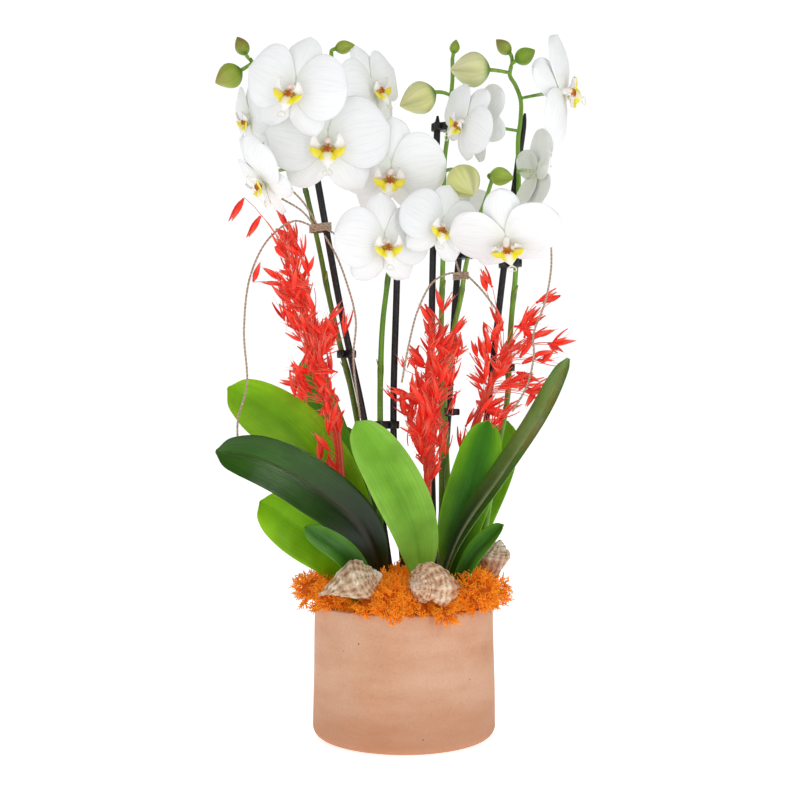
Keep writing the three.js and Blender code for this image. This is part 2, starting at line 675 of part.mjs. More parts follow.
const knots = {
  knot_left: {
    stem: 'spike_left', stake: 'stake_left', height: 330,
    ends: [
      [[-78, 8, 330], [-90, -4, 343], [-107, -8, 353]],
      [[-76, 8, 331], [-88, -2, 350], [-100, -12, 362]],
      [[-70, 8, 329], [-62, 2, 324], [-53, -2, 316]],
    ],
  },
  knot_mid: {
    stem: 'spike_mid_rear', stake: 'stake_mid_rear', height: 290,
    ends: [
      [[50, 26, 292], [44, 8, 304], [34, 2, 320]],
      [[56, 24, 290], [70, 14, 274], [84, 8, 254]],
    ],
  },
};
for (const [name, knot] of Object.entries(knots)) {
  const [stem, stake] = [stems[knot.stem], stakes[knot.stake]];
  const wrap = band(stem, stake, knot.height, 2 * TWINE_RADIUS, KNOT_HEIGHT);
  const ends = knot.ends.map(cordAlong);
  add(name, carved(joined([wrap, ...ends]), [stem.mesh, stake.mesh]), COLOUR.twine, 0.95);
}

const strands = {
  twine_left_long: [
    [-80, 1, 330], [-96, -3, 334], [-118, -8, 318], [-134, -10, 285], [-139, -14, 237], [-136, -18, 190],
    [-143, -24, 160], [-143, -27, 142],
  ],
  twine_left_down: [
    [-70, 2, 322], [-60, 0, 305], [-51, -4, 282], [-42, -12, 247], [-44, -14, 212], [-38, -16, 161],
  ],
  twine_centre_arc: [
    [50, 12, 289], [41, 6, 289], [25, -4, 280], [12, -8, 255], [4, -16, 224], [-2, -18, 192],
  ],
  twine_right_long: [
    [114, 8, 355], [126, 6, 336], [130, 2, 300], [124, -4, 264], [113, -8, 234], [113, -12, 216],
    [107, -14, 190], [94, -16, 167],
  ],
};
for (const [name, points] of Object.entries(strands)) {
  add(name, cordAlong(points), COLOUR.twine, 0.95);
}

// Moss: rounded tufts that fill the pot's top, cut to what stands in them

const mossTufts = {
  moss_front: [
    [-8, -66, 8, 20], [-28, -58, 2, 17], [10, -64, 2, 18], [-12, -44, 12, 19], [34, -58, 0, 18],
    [-12, -76, 2, 11], [34, -74, 1, 10],
  ],
  moss_right: [[62, -48, 13, 20], [72, -24, 12, 18], [48, -34, 8, 19], [64, 2, 8, 18]],
  moss_left: [[-80, -18, 13, 15], [-62, -34, 6, 18], [-58, -4, 9, 19], [-56, 20, 8, 18]],
  moss_rear: [[-29, 49, 8, 17], [4, 56, 8, 18], [36, 50, 8, 17], [-6, 33, 12, 16], [-4, 8, 16, 15]],
};

const standing = [pot, medium, ...planted, ...shellMeshes];
const mossMeshes = [];
for (const [name, tufts] of Object.entries(mossTufts)) {
  const balls = tufts.map(([x, y, height, radius]) => {
    const centre = byRim(x, y, height);
    return new THREE.OctahedronGeometry(radius, 1).translate(centre.x, centre.y, centre.z);
  });
  const clump = carved(joined(balls), [...standing, ...mossMeshes], MOSS_CLEARANCE);
  mossMeshes.push(add(name, clump, COLOUR.moss, 0.95));
}

export default orchid;
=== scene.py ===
# %% [markdown]
# # A gift orchid in a round clay pot
# The object is five flowering spikes of a white moth orchid, tied to black stakes and dressed with
# dyed oats, jute twine, orange moss and three sea shells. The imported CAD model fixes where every
# part is. Here each plant part gets the surface and the colour of the living thing.
# The rule of the file: a shape is a formula over two numbers, worked out on a whole grid at once.

import math

import bpy
import numpy as np
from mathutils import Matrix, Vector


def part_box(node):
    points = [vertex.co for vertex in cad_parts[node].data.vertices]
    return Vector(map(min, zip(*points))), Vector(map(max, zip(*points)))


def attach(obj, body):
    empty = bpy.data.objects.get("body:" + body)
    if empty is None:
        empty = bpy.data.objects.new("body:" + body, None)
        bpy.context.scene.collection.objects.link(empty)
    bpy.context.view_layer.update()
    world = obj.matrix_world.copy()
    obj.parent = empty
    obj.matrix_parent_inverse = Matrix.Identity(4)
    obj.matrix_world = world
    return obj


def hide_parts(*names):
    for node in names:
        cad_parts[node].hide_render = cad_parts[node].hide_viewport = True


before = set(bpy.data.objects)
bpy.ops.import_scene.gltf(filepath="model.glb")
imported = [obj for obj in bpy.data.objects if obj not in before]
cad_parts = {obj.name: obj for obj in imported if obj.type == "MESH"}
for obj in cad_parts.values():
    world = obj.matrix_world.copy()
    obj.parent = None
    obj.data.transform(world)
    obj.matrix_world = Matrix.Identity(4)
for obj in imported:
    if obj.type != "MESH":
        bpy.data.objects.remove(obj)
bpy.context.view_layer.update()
MM = 0.001  # the planting plan is written in millimetres
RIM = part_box("pot")[1].z / MM  # the plane of the rim, which the plan's heights start from
SOIL_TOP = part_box("growing_medium")[1].z / MM
POT_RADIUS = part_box("pot")[1].x / MM
chance = np.random.default_rng(7)
print("rim", round(RIM, 1), "mm, pot radius", round(POT_RADIUS, 1), "mm")

# %% [markdown]
# ## Camera
# The object is looked at from its own mid height with a long lens, as a catalogue shot is, so that
# upright lines stay upright. The lens is long enough for 70 cm to fill the frame at the pot's axis.

# %% Camera
CAMERA_AT = (-0.0035, -1.12, 0.292)
camera = bpy.data.objects.new("camera", bpy.data.cameras.new("camera"))
camera.data.lens = 57.3
camera.location = CAMERA_AT
camera.rotation_euler = (math.pi / 2, 0, 0)
bpy.context.scene.collection.objects.link(camera)
bpy.context.scene.camera = camera
bpy.context.scene.view_settings.view_transform = "Standard"
print("camera: lens", camera.data.lens, "mm, at", CAMERA_AT, "m")

# %% [markdown]
# ## Tools for materials
# A shader is a small graph of nodes. One helper adds a node, sets its values and links its inputs,
# so that a material reads as a list of what it is made of. Colours are written as sRGB hex, as a
# paint chart gives them, and one function turns them to the linear values that light adds up in.


# %% Colour and node helpers
def linear(hex_colour):
    """sRGB hex to linear: a small share is divided by 12.92, a larger one is raised to 2.4."""
    share = np.array([int(hex_colour[i : i + 2], 16) for i in (1, 3, 5)]) / 255
    light = np.where(share <= 0.04045, share / 12.92, ((share + 0.055) / 1.055) ** 2.4)
    return (*light.tolist(), 1.0)


def fresh(name):
    """A material with nothing in it yet, and its tree of nodes."""
    material = bpy.data.materials.new(name)
    material.use_nodes = True
    material.node_tree.nodes.clear()
    return material, material.node_tree


def node(tree, kind, settings=None, links=None, stops=()):
    """Add a node. A setting is a property or the value of an input. A link is a socket, or a node
    whose first open output is meant. stops are a ramp's marks: (position, hex colour)."""
    made = tree.nodes.new("ShaderNode" + kind)
    for name, value in (settings or {}).items():
        if isinstance(name, str) and hasattr(made, name):
            setattr(made, name, value)
        else:
            made.inputs[name].default_value = value
    for name, source in (links or {}).items():
        if isinstance(source, bpy.types.Node):
            source = next(output for output in source.outputs if output.enabled)
        tree.links.new(source, made.inputs[name])
    for i, (place, colour) in enumerate(stops):
        marks = made.color_ramp.elements
        mark = marks[i] if i < 2 else marks.new(place)
        mark.position = place
        mark.color = linear(colour)
    return made


TIMES = {"data_type": "RGBA", "blend_type": "MULTIPLY", 0: 1.0}  # a mix that multiplies colours
BLEND = {"data_type": "RGBA"}  # a mix from its first colour to its second
TINT = {"attribute_name": "tint"}  # the colour that a piece carries at each of its points
print("mid grey gives back", round(linear("#808080")[0], 3), "of the light")

# %% [markdown]
# ## Light, floor and backdrop
# White flowers on white need light that is soft but not equal from all sides: one large panel high
# on the right in front, a weaker one on the left, one behind, and a white room that fills the
# shadows. A narrow upright strip draws the thin lines of light in the leaves. The floor is pale and
# matte and takes only a faint contact shadow.


# %% Light and floor
def panel(name, at, aim, wide, tall, watts):
    """An area light, wide by tall in metres, at one place that points at another."""
    lamp = bpy.data.objects.new(name, bpy.data.lights.new(name, "AREA"))
    lamp.data.shape = "RECTANGLE"
    lamp.data.size = wide
    lamp.data.size_y = tall
    lamp.data.energy = watts
    lamp.location = at
    lamp.rotation_euler = (Vector(at) - Vector(aim)).to_track_quat("Z", "Y").to_euler()
    bpy.context.scene.collection.objects.link(lamp)


panel("key", (1.2, -1.4, 1.5), (0, 0, 0.3), 1.0, 1.0, 5.0)
panel("fill", (-1.6, -1.0, 0.9), (0, 0, 0.3), 1.2, 1.2, 2.5)
panel("rim_light", (-0.7, 1.4, 1.4), (0, 0, 0.4), 1.0, 1.0, 6)
panel("strip", (0.95, -1.5, 0.85), (0, 0, 0.2), 0.06, 0.9, 2.8)

world = bpy.data.worlds.new("white_room")
bpy.context.scene.world = world
world.use_nodes = True
sky = world.node_tree
sky.nodes.clear()
ROOM, MIRRORED, BACKDROP = 0.53, 0.12, 1.05  # the room as a light, in shiny skins, and as seen
lit = node(sky, "Background", {"Color": linear("#FFFFFF"), "Strength": ROOM})
seen = node(sky, "Background", {"Color": linear("#FFFFFF"), "Strength": BACKDROP})
seen_by = node(sky, "LightPath").outputs["Is Camera Ray"]
dim = node(sky, "Background", {"Color": linear("#FFFFFF"), "Strength": MIRRORED})
glossy = node(sky, "LightPath").outputs["Is Glossy Ray"]
both = node(sky, "MixShader", links={0: glossy, 1: lit, 2: dim})
both = node(sky, "MixShader", links={0: seen_by, 1: both, 2: seen})
node(sky, "OutputWorld", links={"Surface": both})

# Matt white paper, lit from below a little as a product table is, so that it meets the backdrop.
paper, tree = fresh("matt_white_paper")
shader = node(
    tree,
    "BsdfPrincipled",
    {
        "Base Color": linear("#FBFBFB"),
        "Roughness": 0.9,
        "Emission Color": linear("#FFFFFF"),
        "Emission Strength": 0.62,
    },
)
node(tree, "OutputMaterial", links={"Surface": shader})
floor_mesh = bpy.data.meshes.new("floor")
FLOOR = 30.0  # metres: far enough for the floor's edge to meet the backdrop unseen
floor_mesh.from_pydata(
    [(-FLOOR, -FLOOR, 0), (FLOOR, -FLOOR, 0), (FLOOR, FLOOR, 0), (-FLOOR, FLOOR, 0)],
    [],
    [(0, 1, 2, 3)],
)
floor_mesh.materials.append(paper)
floor = bpy.data.objects.new("floor", floor_mesh)
bpy.context.scene.collection.objects.link(floor)

# %% [markdown]
# ## Tools for shapes
# Every plant part is either a round skin along a line or a blade: a closed, very flat section along
# a line. Both are grids of rings, closed at each end by a fan of faces to one last point, so that
# no part has an open edge.


# %% Lines
def rail(points, count=80):
    """The plan's line through points, in mm: in each span a cubic whose slopes at both ends weigh
    the neighbouring spans by the square root of their lengths. It is sampled evenly by length."""
    knots = np.array(points, float)
    ends = np.vstack([2 * knots[0] - knots[1], knots, 2 * knots[-1] - knots[-2]])
    gap = np.sqrt(np.linalg.norm(np.diff(ends, axis=0), axis=1))[:, None]
    pace = np.diff(ends, axis=0) / gap
    wide = (ends[2:] - ends[:-2]) / (gap[:-1] + gap[1:])
    slope = pace[:-1] - wide + pace[1:]
    start, end = ends[1:-2], ends[2:-1]
    out, into = slope[:-1] * gap[1:-1], slope[1:] * gap[1:-1]
    t = np.linspace(0, 1, 30, endpoint=False)[None, :, None]
    start, end, out, into = (a[:, None, :] for a in (start, end, out, into))
    line = (
        start
        + out * t
        + (3 * (end - start) - 2 * out - into) * t**2
        + (2 * (start - end) + out + into) * t**3
    )
    line = np.vstack([line.reshape(-1, 3), knots[-1]])
    return even(line, count)


def even(line, count):
    """The same line with count points at equal distances along it."""
    along = np.concatenate([[0], np.cumsum(np.linalg.norm(np.diff(line, axis=0), axis=1))])
    want = np.linspace(0, along[-1], count)
    return np.stack([np.interp(want, along, line[:, i]) for i in range(3)], axis=1)


def bent(start, middle, end, count=12):
    """A curve from start to end that is drawn towards middle: (1-t)^2 a + 2t(1-t) b + t^2 c."""
    t = np.linspace(0, 1, count)[:, None]
    a, b, c = (np.array(p, float) for p in (start, middle, end))
    return (1 - t) ** 2 * a + 2 * t * (1 - t) * b + t**2 * c


def length_of(line):
    """The sum of the distances between neighbouring points."""
    return float(np.linalg.norm(np.diff(line, axis=0), axis=1).sum())


def unit(vectors):
    """Vectors scaled to length 1."""
    vectors = np.asarray(vectors, float)
    return vectors / np.maximum(np.linalg.norm(vectors, axis=-1, keepdims=True), 1e-12)


def above(points):
    """Points of the plan, whose heights start at the rim, in mm above the floor."""
    return np.array(points, float) + np.array([0, 0, RIM])


print("a bend in 10 by 10 mm:", round(length_of(bent((0, 0, 0), (10, 0, 0), (10, 10, 0))), 1))


# %% Skins
def grid_faces(rows, sides):
    """Quads between the rings of a grid whose rings are closed, then a fan at each end."""
    row, side = np.meshgrid(np.arange(rows - 1), np.arange(sides), indexing="ij")
    a = row * sides + side
    b = row * sides + (side + 1) % sides
    quads = np.stack([a, b, b + sides, a + sides], axis=-1).reshape(-1, 4)
    s = np.arange(sides)
    first, last, n = rows * sides, rows * sides + 1, (rows - 1) * sides
    start = np.stack([np.full(sides, first), (s + 1) % sides, s], axis=-1)
    end = np.stack([np.full(sides, last), n + s, n + (s + 1) % sides], axis=-1)
    return quads, np.vstack([start, end])


def skin(rings, tint=None, uv=None, part=0):
    """A closed skin over rings, an array of rows x sides x 3 in mm. The rings run anticlockwise
    seen from the last one. tint is a colour at each point and part is the material's number."""
    rows, sides = rings.shape[:2]
    quads, fans = grid_faces(rows, sides)
    points = np.vstack([rings.reshape(-1, 3), rings[0].mean(0), rings[-1].mean(0)])
    if tint is None:
        tint = np.ones((rows, sides, 3))
    tint = np.broadcast_to(tint, (rows, sides, 3))
    tints = np.vstack([tint.reshape(-1, 3), tint[0].mean(0), tint[-1].mean(0)])
    if uv is None:
        along = np.linspace(0, 1, rows)[:, None] * np.ones((1, sides))
        uv = np.stack([np.linspace(0, 1, sides)[None, :] * np.ones((rows, 1)), along], axis=-1)
    uvs = np.vstack([uv.reshape(-1, 2), uv[0].mean(0), uv[-1].mean(0)])
    return {"points": points, "quads": quads, "fans": fans, "tint": tints, "uv": uvs, "part": part}


print("a grid of 3 rings of 4 has", sum(len(faces) for faces in grid_faces(3, 4)), "faces")


# %% Round skins and blades
def directions(line):
    """Along a line: the unit direction, and two units across it that turn as little as they can."""
    ahead = unit(np.gradient(line, axis=0))
    side = np.zeros_like(ahead)
    start = np.array([0.0, -1.0, 0.0]) if abs(ahead[0][1]) < 0.8 else np.array([1.0, 0, 0])
    for i, direction in enumerate(ahead):
        start = start - direction * (start @ direction)
        start = start / np.linalg.norm(start)
        side[i] = start
    return ahead, side, np.cross(ahead, side)


def round_skin(line, radius, sides=12, tint=None, part=0):
    """A tube: line + radius * (cos(a) * side + sin(a) * third). radius is a number, one for each
    point of the line, or one for each point of the grid."""
    _, side, third = directions(line)
    angle = np.linspace(0, 2 * np.pi, sides, endpoint=False)
    radius = np.asarray(radius, float)
    if radius.ndim < 2:
        radius = np.broadcast_to(radius[..., None] if radius.ndim else radius, (len(line), sides))
    ring = (
        line[:, None, :]
        + radius[..., None] * np.cos(angle)[None, :, None] * side[:, None, :]
        + radius[..., None] * np.sin(angle)[None, :, None] * third[:, None, :]
    )
    return skin(ring, tint, part=part)


def blade_skin(
    line, facing, left, right, lift, thick, columns=20, tint=None, part=0, shares=None
):
    """A thin closed blade. At share v of the line and u from -1 to 1 across it, the middle layer is
    line(v) + width(v) * u * across(v) + lift(u, v) * normal(v), and the two faces lie half of
    thick * sqrt(1 - u^8) to each side of it. left and right are the half widths."""
    ahead = unit(np.gradient(line, axis=0))
    normal = unit(facing - ahead * np.sum(facing * ahead, axis=-1, keepdims=True))
    across = np.cross(normal, ahead)
    angle = np.linspace(0, 2 * np.pi, 2 * columns, endpoint=False)
    u = np.cos(angle)
    u = np.sign(u) * np.abs(u) ** 0.8
    u = np.broadcast_to(u, (len(line), 2 * columns))
    shares = np.linspace(0, 1, len(line)) if shares is None else shares
    v = shares[:, None] * np.ones_like(u)
    half = np.where(u > 0, np.asarray(right)[:, None], np.asarray(left)[:, None])
    layer = np.sign(np.sin(angle))[None, :] * np.sqrt(1 - np.abs(u) ** 8)
    thickness = np.asarray(thick) if np.ndim(thick) else np.full(len(line), thick)
    height = lift(u, v) + 0.5 * thickness[:, None] * layer
    ring = (
        line[:, None, :]
        + (u * half)[..., None] * across[:, None, :]
        + height[..., None] * normal[:, None, :]
    )
    colour = tint(u, v, layer) if callable(tint) else tint
    return skin(ring, colour, np.stack([u * 0.5 + 0.5, v], axis=-1), part)


# %% Colours and places
def tinted(*pairs):
    """A colour at each point: starts as the first, then moves to each next (colour, weight)."""
    colour = np.array(linear(pairs[0])[:3]) * np.ones((*pairs[1][1].shape, 1))
    for shade, weight in pairs[1:]:
        colour = colour + (np.array(linear(shade)[:3]) - colour) * np.clip(weight, 0, 1)[..., None]
    return colour


def step(low, high, value):
    """0 below low, 1 above high, and smooth between."""
    t = np.clip((value - low) / (high - low), 0, 1)
    return t * t * (3 - 2 * t)


def moved(part, matrix=None, offset=(0, 0, 0), scale=1.0):
    """The same skin turned, scaled and shifted."""
    points = part["points"] * scale
    if matrix is not None:
        points = points @ matrix.T
    return {**part, "points": points + np.array(offset, float)}


# %% From skins to a piece
def piece(name, skins, materials, slot, *nodes):
    """Join skins into one mesh in metres, give it colours, UVs and materials, and put it in the
    frame in place of the CAD nodes."""
    points, quads, fans, tints, uvs, parts = [], [], [], [], [], []
    count = 0
    for one in skins:
        points.append(one["points"])
        quads.append(one["quads"] + count)
        fans.append(one["fans"] + count)
        tints.append(one["tint"])
        uvs.append(one["uv"])
        parts.append((len(one["quads"]), len(one["fans"]), one["part"]))
        count += len(one["points"])
    points, quads, fans = np.vstack(points) * MM, np.vstack(quads), np.vstack(fans)
    mesh = bpy.data.meshes.new(name)
    mesh.vertices.add(len(points))
    mesh.vertices.foreach_set("co", points.astype(np.float32).ravel())
    corners = np.concatenate([quads.ravel(), fans.ravel()])
    sizes = np.concatenate([np.full(len(quads), 4), np.full(len(fans), 3)])
    mesh.loops.add(len(corners))
    mesh.loops.foreach_set("vertex_index", corners.astype(np.int32))
    mesh.polygons.add(len(sizes))
    starts = np.concatenate([[0], np.cumsum(sizes)[:-1]])
    mesh.polygons.foreach_set("loop_start", starts.astype(np.int32))
    numbers = np.concatenate(
        [np.full(n[0], n[2]) for n in parts] + [np.full(n[1], n[2]) for n in parts]
    )
    mesh.polygons.foreach_set("material_index", numbers.astype(np.int32))
    mesh.polygons.foreach_set("use_smooth", np.full(len(sizes), True))
    mesh.update(calc_edges=True)
    colours = np.hstack([np.vstack(tints), np.ones((len(points), 1))])
    mesh.attributes.new("tint", "FLOAT_COLOR", "POINT")
    mesh.attributes["tint"].data.foreach_set("color", colours.astype(np.float32).ravel())
    layer = mesh.uv_layers.new(name="UVMap")
    layer.data.foreach_set("uv", np.vstack(uvs)[corners].astype(np.float32).ravel())
    mesh.validate()
    for material in materials:
        mesh.materials.append(material)
    made = bpy.data.objects.new(name, mesh)
    bpy.context.scene.collection.objects.link(made)
    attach(made, "root")
    if nodes:
        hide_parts(*nodes)
        cad = np.array([np.array(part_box(n)) for n in nodes]) / MM
        low, high = cad[:, 0].min(0), cad[:, 1].max(0)
        grown = np.round([points.min(0) / MM - low, points.max(0) / MM - high], 1).tolist()
        print(f"{name}: {len(sizes)} faces, box against the CAD {grown} mm")
    else:
        print(f"{name}: {len(sizes)} faces")
    return made


# %% [markdown]
# ## Jute twine
# Florist's jute is two plies laid round each other, about 2 mm thick, dry and hairy, and springy
# enough to keep the curves it was pulled into. A strand is one tube whose section has two lobes
# that turn along it. Loose fibres stand out all round. The strands come first, because their length
# and place are checked against the CAD.

# %% Jute
# Jute: a coarse bast fibre, unbleached. The eye gets a warm grey-brown and no shine at all, only a
# soft halo of fibres. The ply tops are painted lighter and the grooves between the plies darker:
# painted shade.
jute, tree = fresh("unbleached_jute")
spot = node(tree, "TexCoord").outputs["Object"]
strands = node(tree, "TexNoise", {"Scale": 900, "Detail": 3, "Roughness": 0.6}, {"Vector": spot})
STRAW_BROWNS = [(0.3, "#9C7E64"), (0.5, "#C6A98E"), (0.72, "#E6D4BE")]
shades = node(tree, "ValToRGB", links={0: strands}, stops=STRAW_BROWNS)
body = node(tree, "Mix", TIMES, {6: shades, 7: node(tree, "Attribute", TINT)})
bump = node(tree, "Bump", {"Distance": 0.4 * MM}, {"Height": strands})
shader = node(
    tree,
    "BsdfPrincipled",
    {"Roughness": 0.95, "Sheen Weight": 0.25, "Sheen Roughness": 0.6},
    {"Base Color": body, "Normal": bump},
)
node(tree, "OutputMaterial", links={"Surface": shader})

# %% Where the twine runs
TWINE = 2.0  # mm
LAY = 7.0  # mm of twine for one turn of the two plies
RING_STEP, HAIR_STEP = 0.8, 2.2  # mm of twine for each ring of its skin, and for each loose hair
STRANDS = {
    "twine_left_long": [
        (-80, 1, 330), (-96, -3, 334), (-118, -8, 318), (-134, -10, 285), (-139, -14, 237),
        (-136, -18, 190), (-143, -24, 160), (-143, -27, 142),
    ],
    "twine_left_down": [
        (-70, 2, 322), (-60, 0, 305), (-51, -4, 282), (-42, -12, 247), (-44, -14, 212),
        (-38, -16, 161),
    ],
    "twine_centre_arc": [
        (50, 12, 289), (41, 6, 289), (25, -4, 280), (12, -8, 255), (4, -16, 224), (-2, -18, 192),
    ],
    "twine_right_long": [
        (114, 8, 355), (126, 6, 336), (130, 2, 300), (124, -4, 264), (113, -8, 234),
        (113, -12, 216), (107, -14, 190), (94, -16, 167),
    ],
}  # fmt: skip


# %% Twine
def twisted(line):
    """Two-ply section: radius = r * (0.86 + 0.14 * cos(2a - turn)), where turn grows along it."""
    along = np.linspace(0, length_of(line), len(line))[:, None]
    angle = np.linspace(0, 2 * np.pi, 10, endpoint=False)[None, :]
    lobes = np.cos(2 * angle - 4 * np.pi * along / LAY)
    radius = TWINE / 2 * (0.86 + 0.14 * lobes)
    # Painted shade: the tint follows the lobes, so the grooves between the two plies are darker and
    # the ply tops lighter.
    tint = (0.82 + 0.18 * lobes)[..., None] * np.ones(3)
    return round_skin(line, radius, 10, tint)


def fibres(line, count):
    """Loose hairs: tapering three-sided spikes, 0.9 to 1.9 mm long, that leave it at a slant."""
    ahead, side, third = directions(line)
    hairs = []
    for _ in range(count):
        i = chance.integers(1, len(line) - 1)
        angle = chance.uniform(0, 2 * np.pi)
        out = side[i] * np.cos(angle) + third[i] * np.sin(angle)
        tip = out * chance.uniform(0.9, 1.9) + ahead[i] * chance.uniform(-3, 3)
        start = line[i] + out * 0.4
        hair = bent(start, start + tip * 0.5 + chance.normal(size=3) * 0.3, start + tip, 4)
        hairs.append(round_skin(hair, np.array([0.11, 0.09, 0.07, 0.02]), 3))
    return hairs


for node_name, points in STRANDS.items():
    name = node_name.replace("twine", "jute")
    length = length_of(rail(above(points), 400))
    line = rail(above(points), int(length / RING_STEP))
    fuzz = piece(name + "_fibres", fibres(line, int(length / HAIR_STEP)), [jute], "twine")
    strand = piece(name, [twisted(line)], [jute], "twine", node_name)
    print(name, round(length), "mm long")

# %% [markdown]
# ## The pot
# A straight round pot cast in a clay-coloured mix: no glaze, small air holes, and a skin that dried
# in patches. The wall is a profile turned about the axis, with the radius a little uneven, as cast
# work is. The colour is darker and redder near the foot.

# %% Pot finish
# Cast terracotta: iron-red clay body, unglazed and fine grained. The eye gets a dry pinkish orange
# with cloudy patches, a few pin holes, and a browner foot. IOR of fired clay is about 1.55.
clay, tree = fresh("cast_terracotta")
spot = node(tree, "TexCoord").outputs["Object"]
clouds = node(tree, "TexNoise", {"Scale": 15, "Detail": 5, "Roughness": 0.6}, {"Vector": spot})
grit = node(tree, "TexNoise", {"Scale": 700, "Detail": 3, "Roughness": 0.7}, {"Vector": spot})
flow = node(tree, "Mapping", {"Scale": (12, 12, 55)}, {"Vector": spot})
pours = node(tree, "TexNoise", {"Scale": 1, "Detail": 4}, {"Vector": flow})
dry = [(0.3, "#CB9470"), (0.46, "#D6A280"), (0.62, "#DDAE90")]
patchy = node(tree, "ValToRGB", links={0: clouds}, stops=dry)
layered = node(tree, "ValToRGB", links={0: pours}, stops=[(0.35, "#C58A62"), (0.6, "#DFB497")])
body = node(tree, "Mix", {**BLEND, 0: 0.35}, {6: patchy, 7: layered})
specks = node(tree, "ValToRGB", links={0: grit}, stops=[(0.35, "#C79A7A"), (0.55, "#FFFFFF")])
body = node(tree, "Mix", {**TIMES, 0: 0.18}, {6: body, 7: specks})
height = node(tree, "SeparateXYZ", links={0: spot}).outputs["Z"]
# The clay is made darker and redder towards the foot.
low = node(tree, "MapRange", {"From Min": 0.055, "From Max": 0.0}, {"Value": height})
darker_near_foot = node(tree, "Math", {"operation": "MULTIPLY"}, {0: low, 1: clouds})
body = node(tree, "Mix", {**BLEND, 7: linear("#A8663C")}, {0: darker_near_foot, 6: body})
bubbles = node(tree, "TexVoronoi", {"Scale": 95, "Randomness": 1.0}, {"Vector": spot})
hole = node(tree, "ValToRGB", links={0: bubbles}, stops=[(0.05, "#FFFFFF"), (0.09, "#000000")])
rare = node(tree, "ValToRGB", links={0: pours}, stops=[(0.52, "#000000"), (0.58, "#FFFFFF")])
pit = node(tree, "Mix", TIMES, {6: hole, 7: rare})
# The pin holes are painted dark brown: painted shade inside each hole.
body = node(tree, "Mix", {**BLEND, 7: linear("#7A4E36")}, {0: pit, 6: body})
relief = node(tree, "Mix", {**BLEND, 0: 0.5}, {6: grit, 7: clouds})
relief = node(tree, "Mix", {**BLEND, 7: linear("#000000")}, {0: pit, 6: relief})
bump = node(tree, "Bump", {"Distance": 0.5 * MM, "Strength": 0.4}, {"Height": relief})
shader = node(
    tree, "BsdfPrincipled", {"Roughness": 0.78, "IOR": 1.55}, {"Base Color": body, "Normal": bump}
)
node(tree, "OutputMaterial", links={"Surface": shader})

# %% Pot body
WALL, FLOOR_THICK, DRAFT, FOOT_ROUND, RIM_ROUND = 9.0, 12.0, 2.0, 8.0, 1.5  # mm
POT_SIDES, POT_UNEVEN = 144, 0.16  # faces round the pot, and mm that its radius wanders


def turned(profile, sides, uneven):
    """A profile of (radius, height) turned about the upright axis. The radius gains uneven mm of
    slow waves: sin(3a + z/23) + 0.6 sin(7a - z/11), which fade near the axis."""
    profile = np.array(profile, float)
    angle = np.linspace(0, 2 * np.pi, sides, endpoint=False)[None, :]
    radius, height = profile[:, :1], profile[:, 1:]
    wave = np.sin(3 * angle + height / 23) + 0.6 * np.sin(7 * angle - height / 11)
    radius = radius + uneven * wave * np.clip(radius / 60, 0, 1)
    flat = height + 0 * angle
    return skin(np.stack([radius * np.cos(angle), radius * np.sin(angle), flat], axis=-1))


def arc(centre, radius, start, end, count=7):
    """Points of a circle's arc between two angles in degrees."""
    angle = np.radians(np.linspace(start, end, count))
    return [(centre[0] + radius * np.cos(a), centre[1] + radius * np.sin(a)) for a in angle]


rim_radius = POT_RADIUS - DRAFT
inner = rim_radius - WALL
wall = [
    (POT_RADIUS - DRAFT * share, FOOT_ROUND + (RIM - FOOT_ROUND - RIM_ROUND) * share)
    for share in np.linspace(0.05, 0.95, 22)
]
profile = [
    (1, 0),
    (POT_RADIUS * 0.5, 0),
    *arc((POT_RADIUS - FOOT_ROUND, FOOT_ROUND), FOOT_ROUND, -90, 0),
    *wall,
    *arc((rim_radius - RIM_ROUND, RIM - RIM_ROUND), RIM_ROUND, 0, 90, 5),
    *arc((inner + RIM_ROUND, RIM - RIM_ROUND), RIM_ROUND, 90, 180, 5),
    (inner, RIM * 0.6),
    (inner, FLOOR_THICK),
    (1, FLOOR_THICK),
]
piece("clay_pot", [turned(profile, POT_SIDES, POT_UNEVEN)], [clay], "pot", "pot")

# %% [markdown]
# ## Growing medium
# Orchids stand in chips of pine bark, not in soil. Little of it shows between the moss, so it is a
# dark bed with loose angular chips on top.

# %% Bark
# Pine bark, chipped: the eye gets dark red-brown flakes with paler torn edges, dry and rough.
bark, tree = fresh("pine_bark_chips")
spot = node(tree, "TexCoord").outputs["Object"]
layers = node(tree, "TexNoise", {"Scale": 260, "Detail": 4}, {"Vector": spot})
flakes = [(0.3, "#24160E"), (0.55, "#4A2F1F"), (0.75, "#7A5438")]
body = node(tree, "ValToRGB", links={0: layers}, stops=flakes)
bump = node(tree, "Bump", {"Distance": 0.8 * MM}, {"Height": layers})
shader = node(tree, "BsdfPrincipled", {"Roughness": 0.9}, {"Base Color": body, "Normal": bump})
node(tree, "OutputMaterial", links={"Surface": shader})


def chip(at, size):
    """An angular flake: two uneven rings of six points, about a fifth as thick as it is wide."""
    angle = np.linspace(0, 2 * np.pi, 6, endpoint=False)
    radius = size * chance.uniform(0.6, 1.1, (2, 6))
    height = size * 0.16 * np.array([[-1], [1]]) + chance.uniform(-0.4, 0.4, (2, 6))
    ring = np.stack([radius * np.cos(angle) * 1.4, radius * np.sin(angle), height], axis=-1)
    return moved(skin(ring), spun(chance.uniform(0, 360), *chance.uniform(-35, 35, 2)), at)


def spun(turn, tilt=0.0, roll=0.0):
    """The matrix that rolls about Y, then tilts about X, then turns about Z, in degrees."""
    t, x, y = np.radians([turn, -tilt, roll])
    about_z = np.array([[np.cos(t), -np.sin(t), 0], [np.sin(t), np.cos(t), 0], [0, 0, 1]])
    about_x = np.array([[1, 0, 0], [0, np.cos(x), -np.sin(x)], [0, np.sin(x), np.cos(x)]])
    about_y = np.array([[np.cos(y), 0, np.sin(y)], [0, 1, 0], [-np.sin(y), 0, np.cos(y)]])
    return about_z @ about_x @ about_y


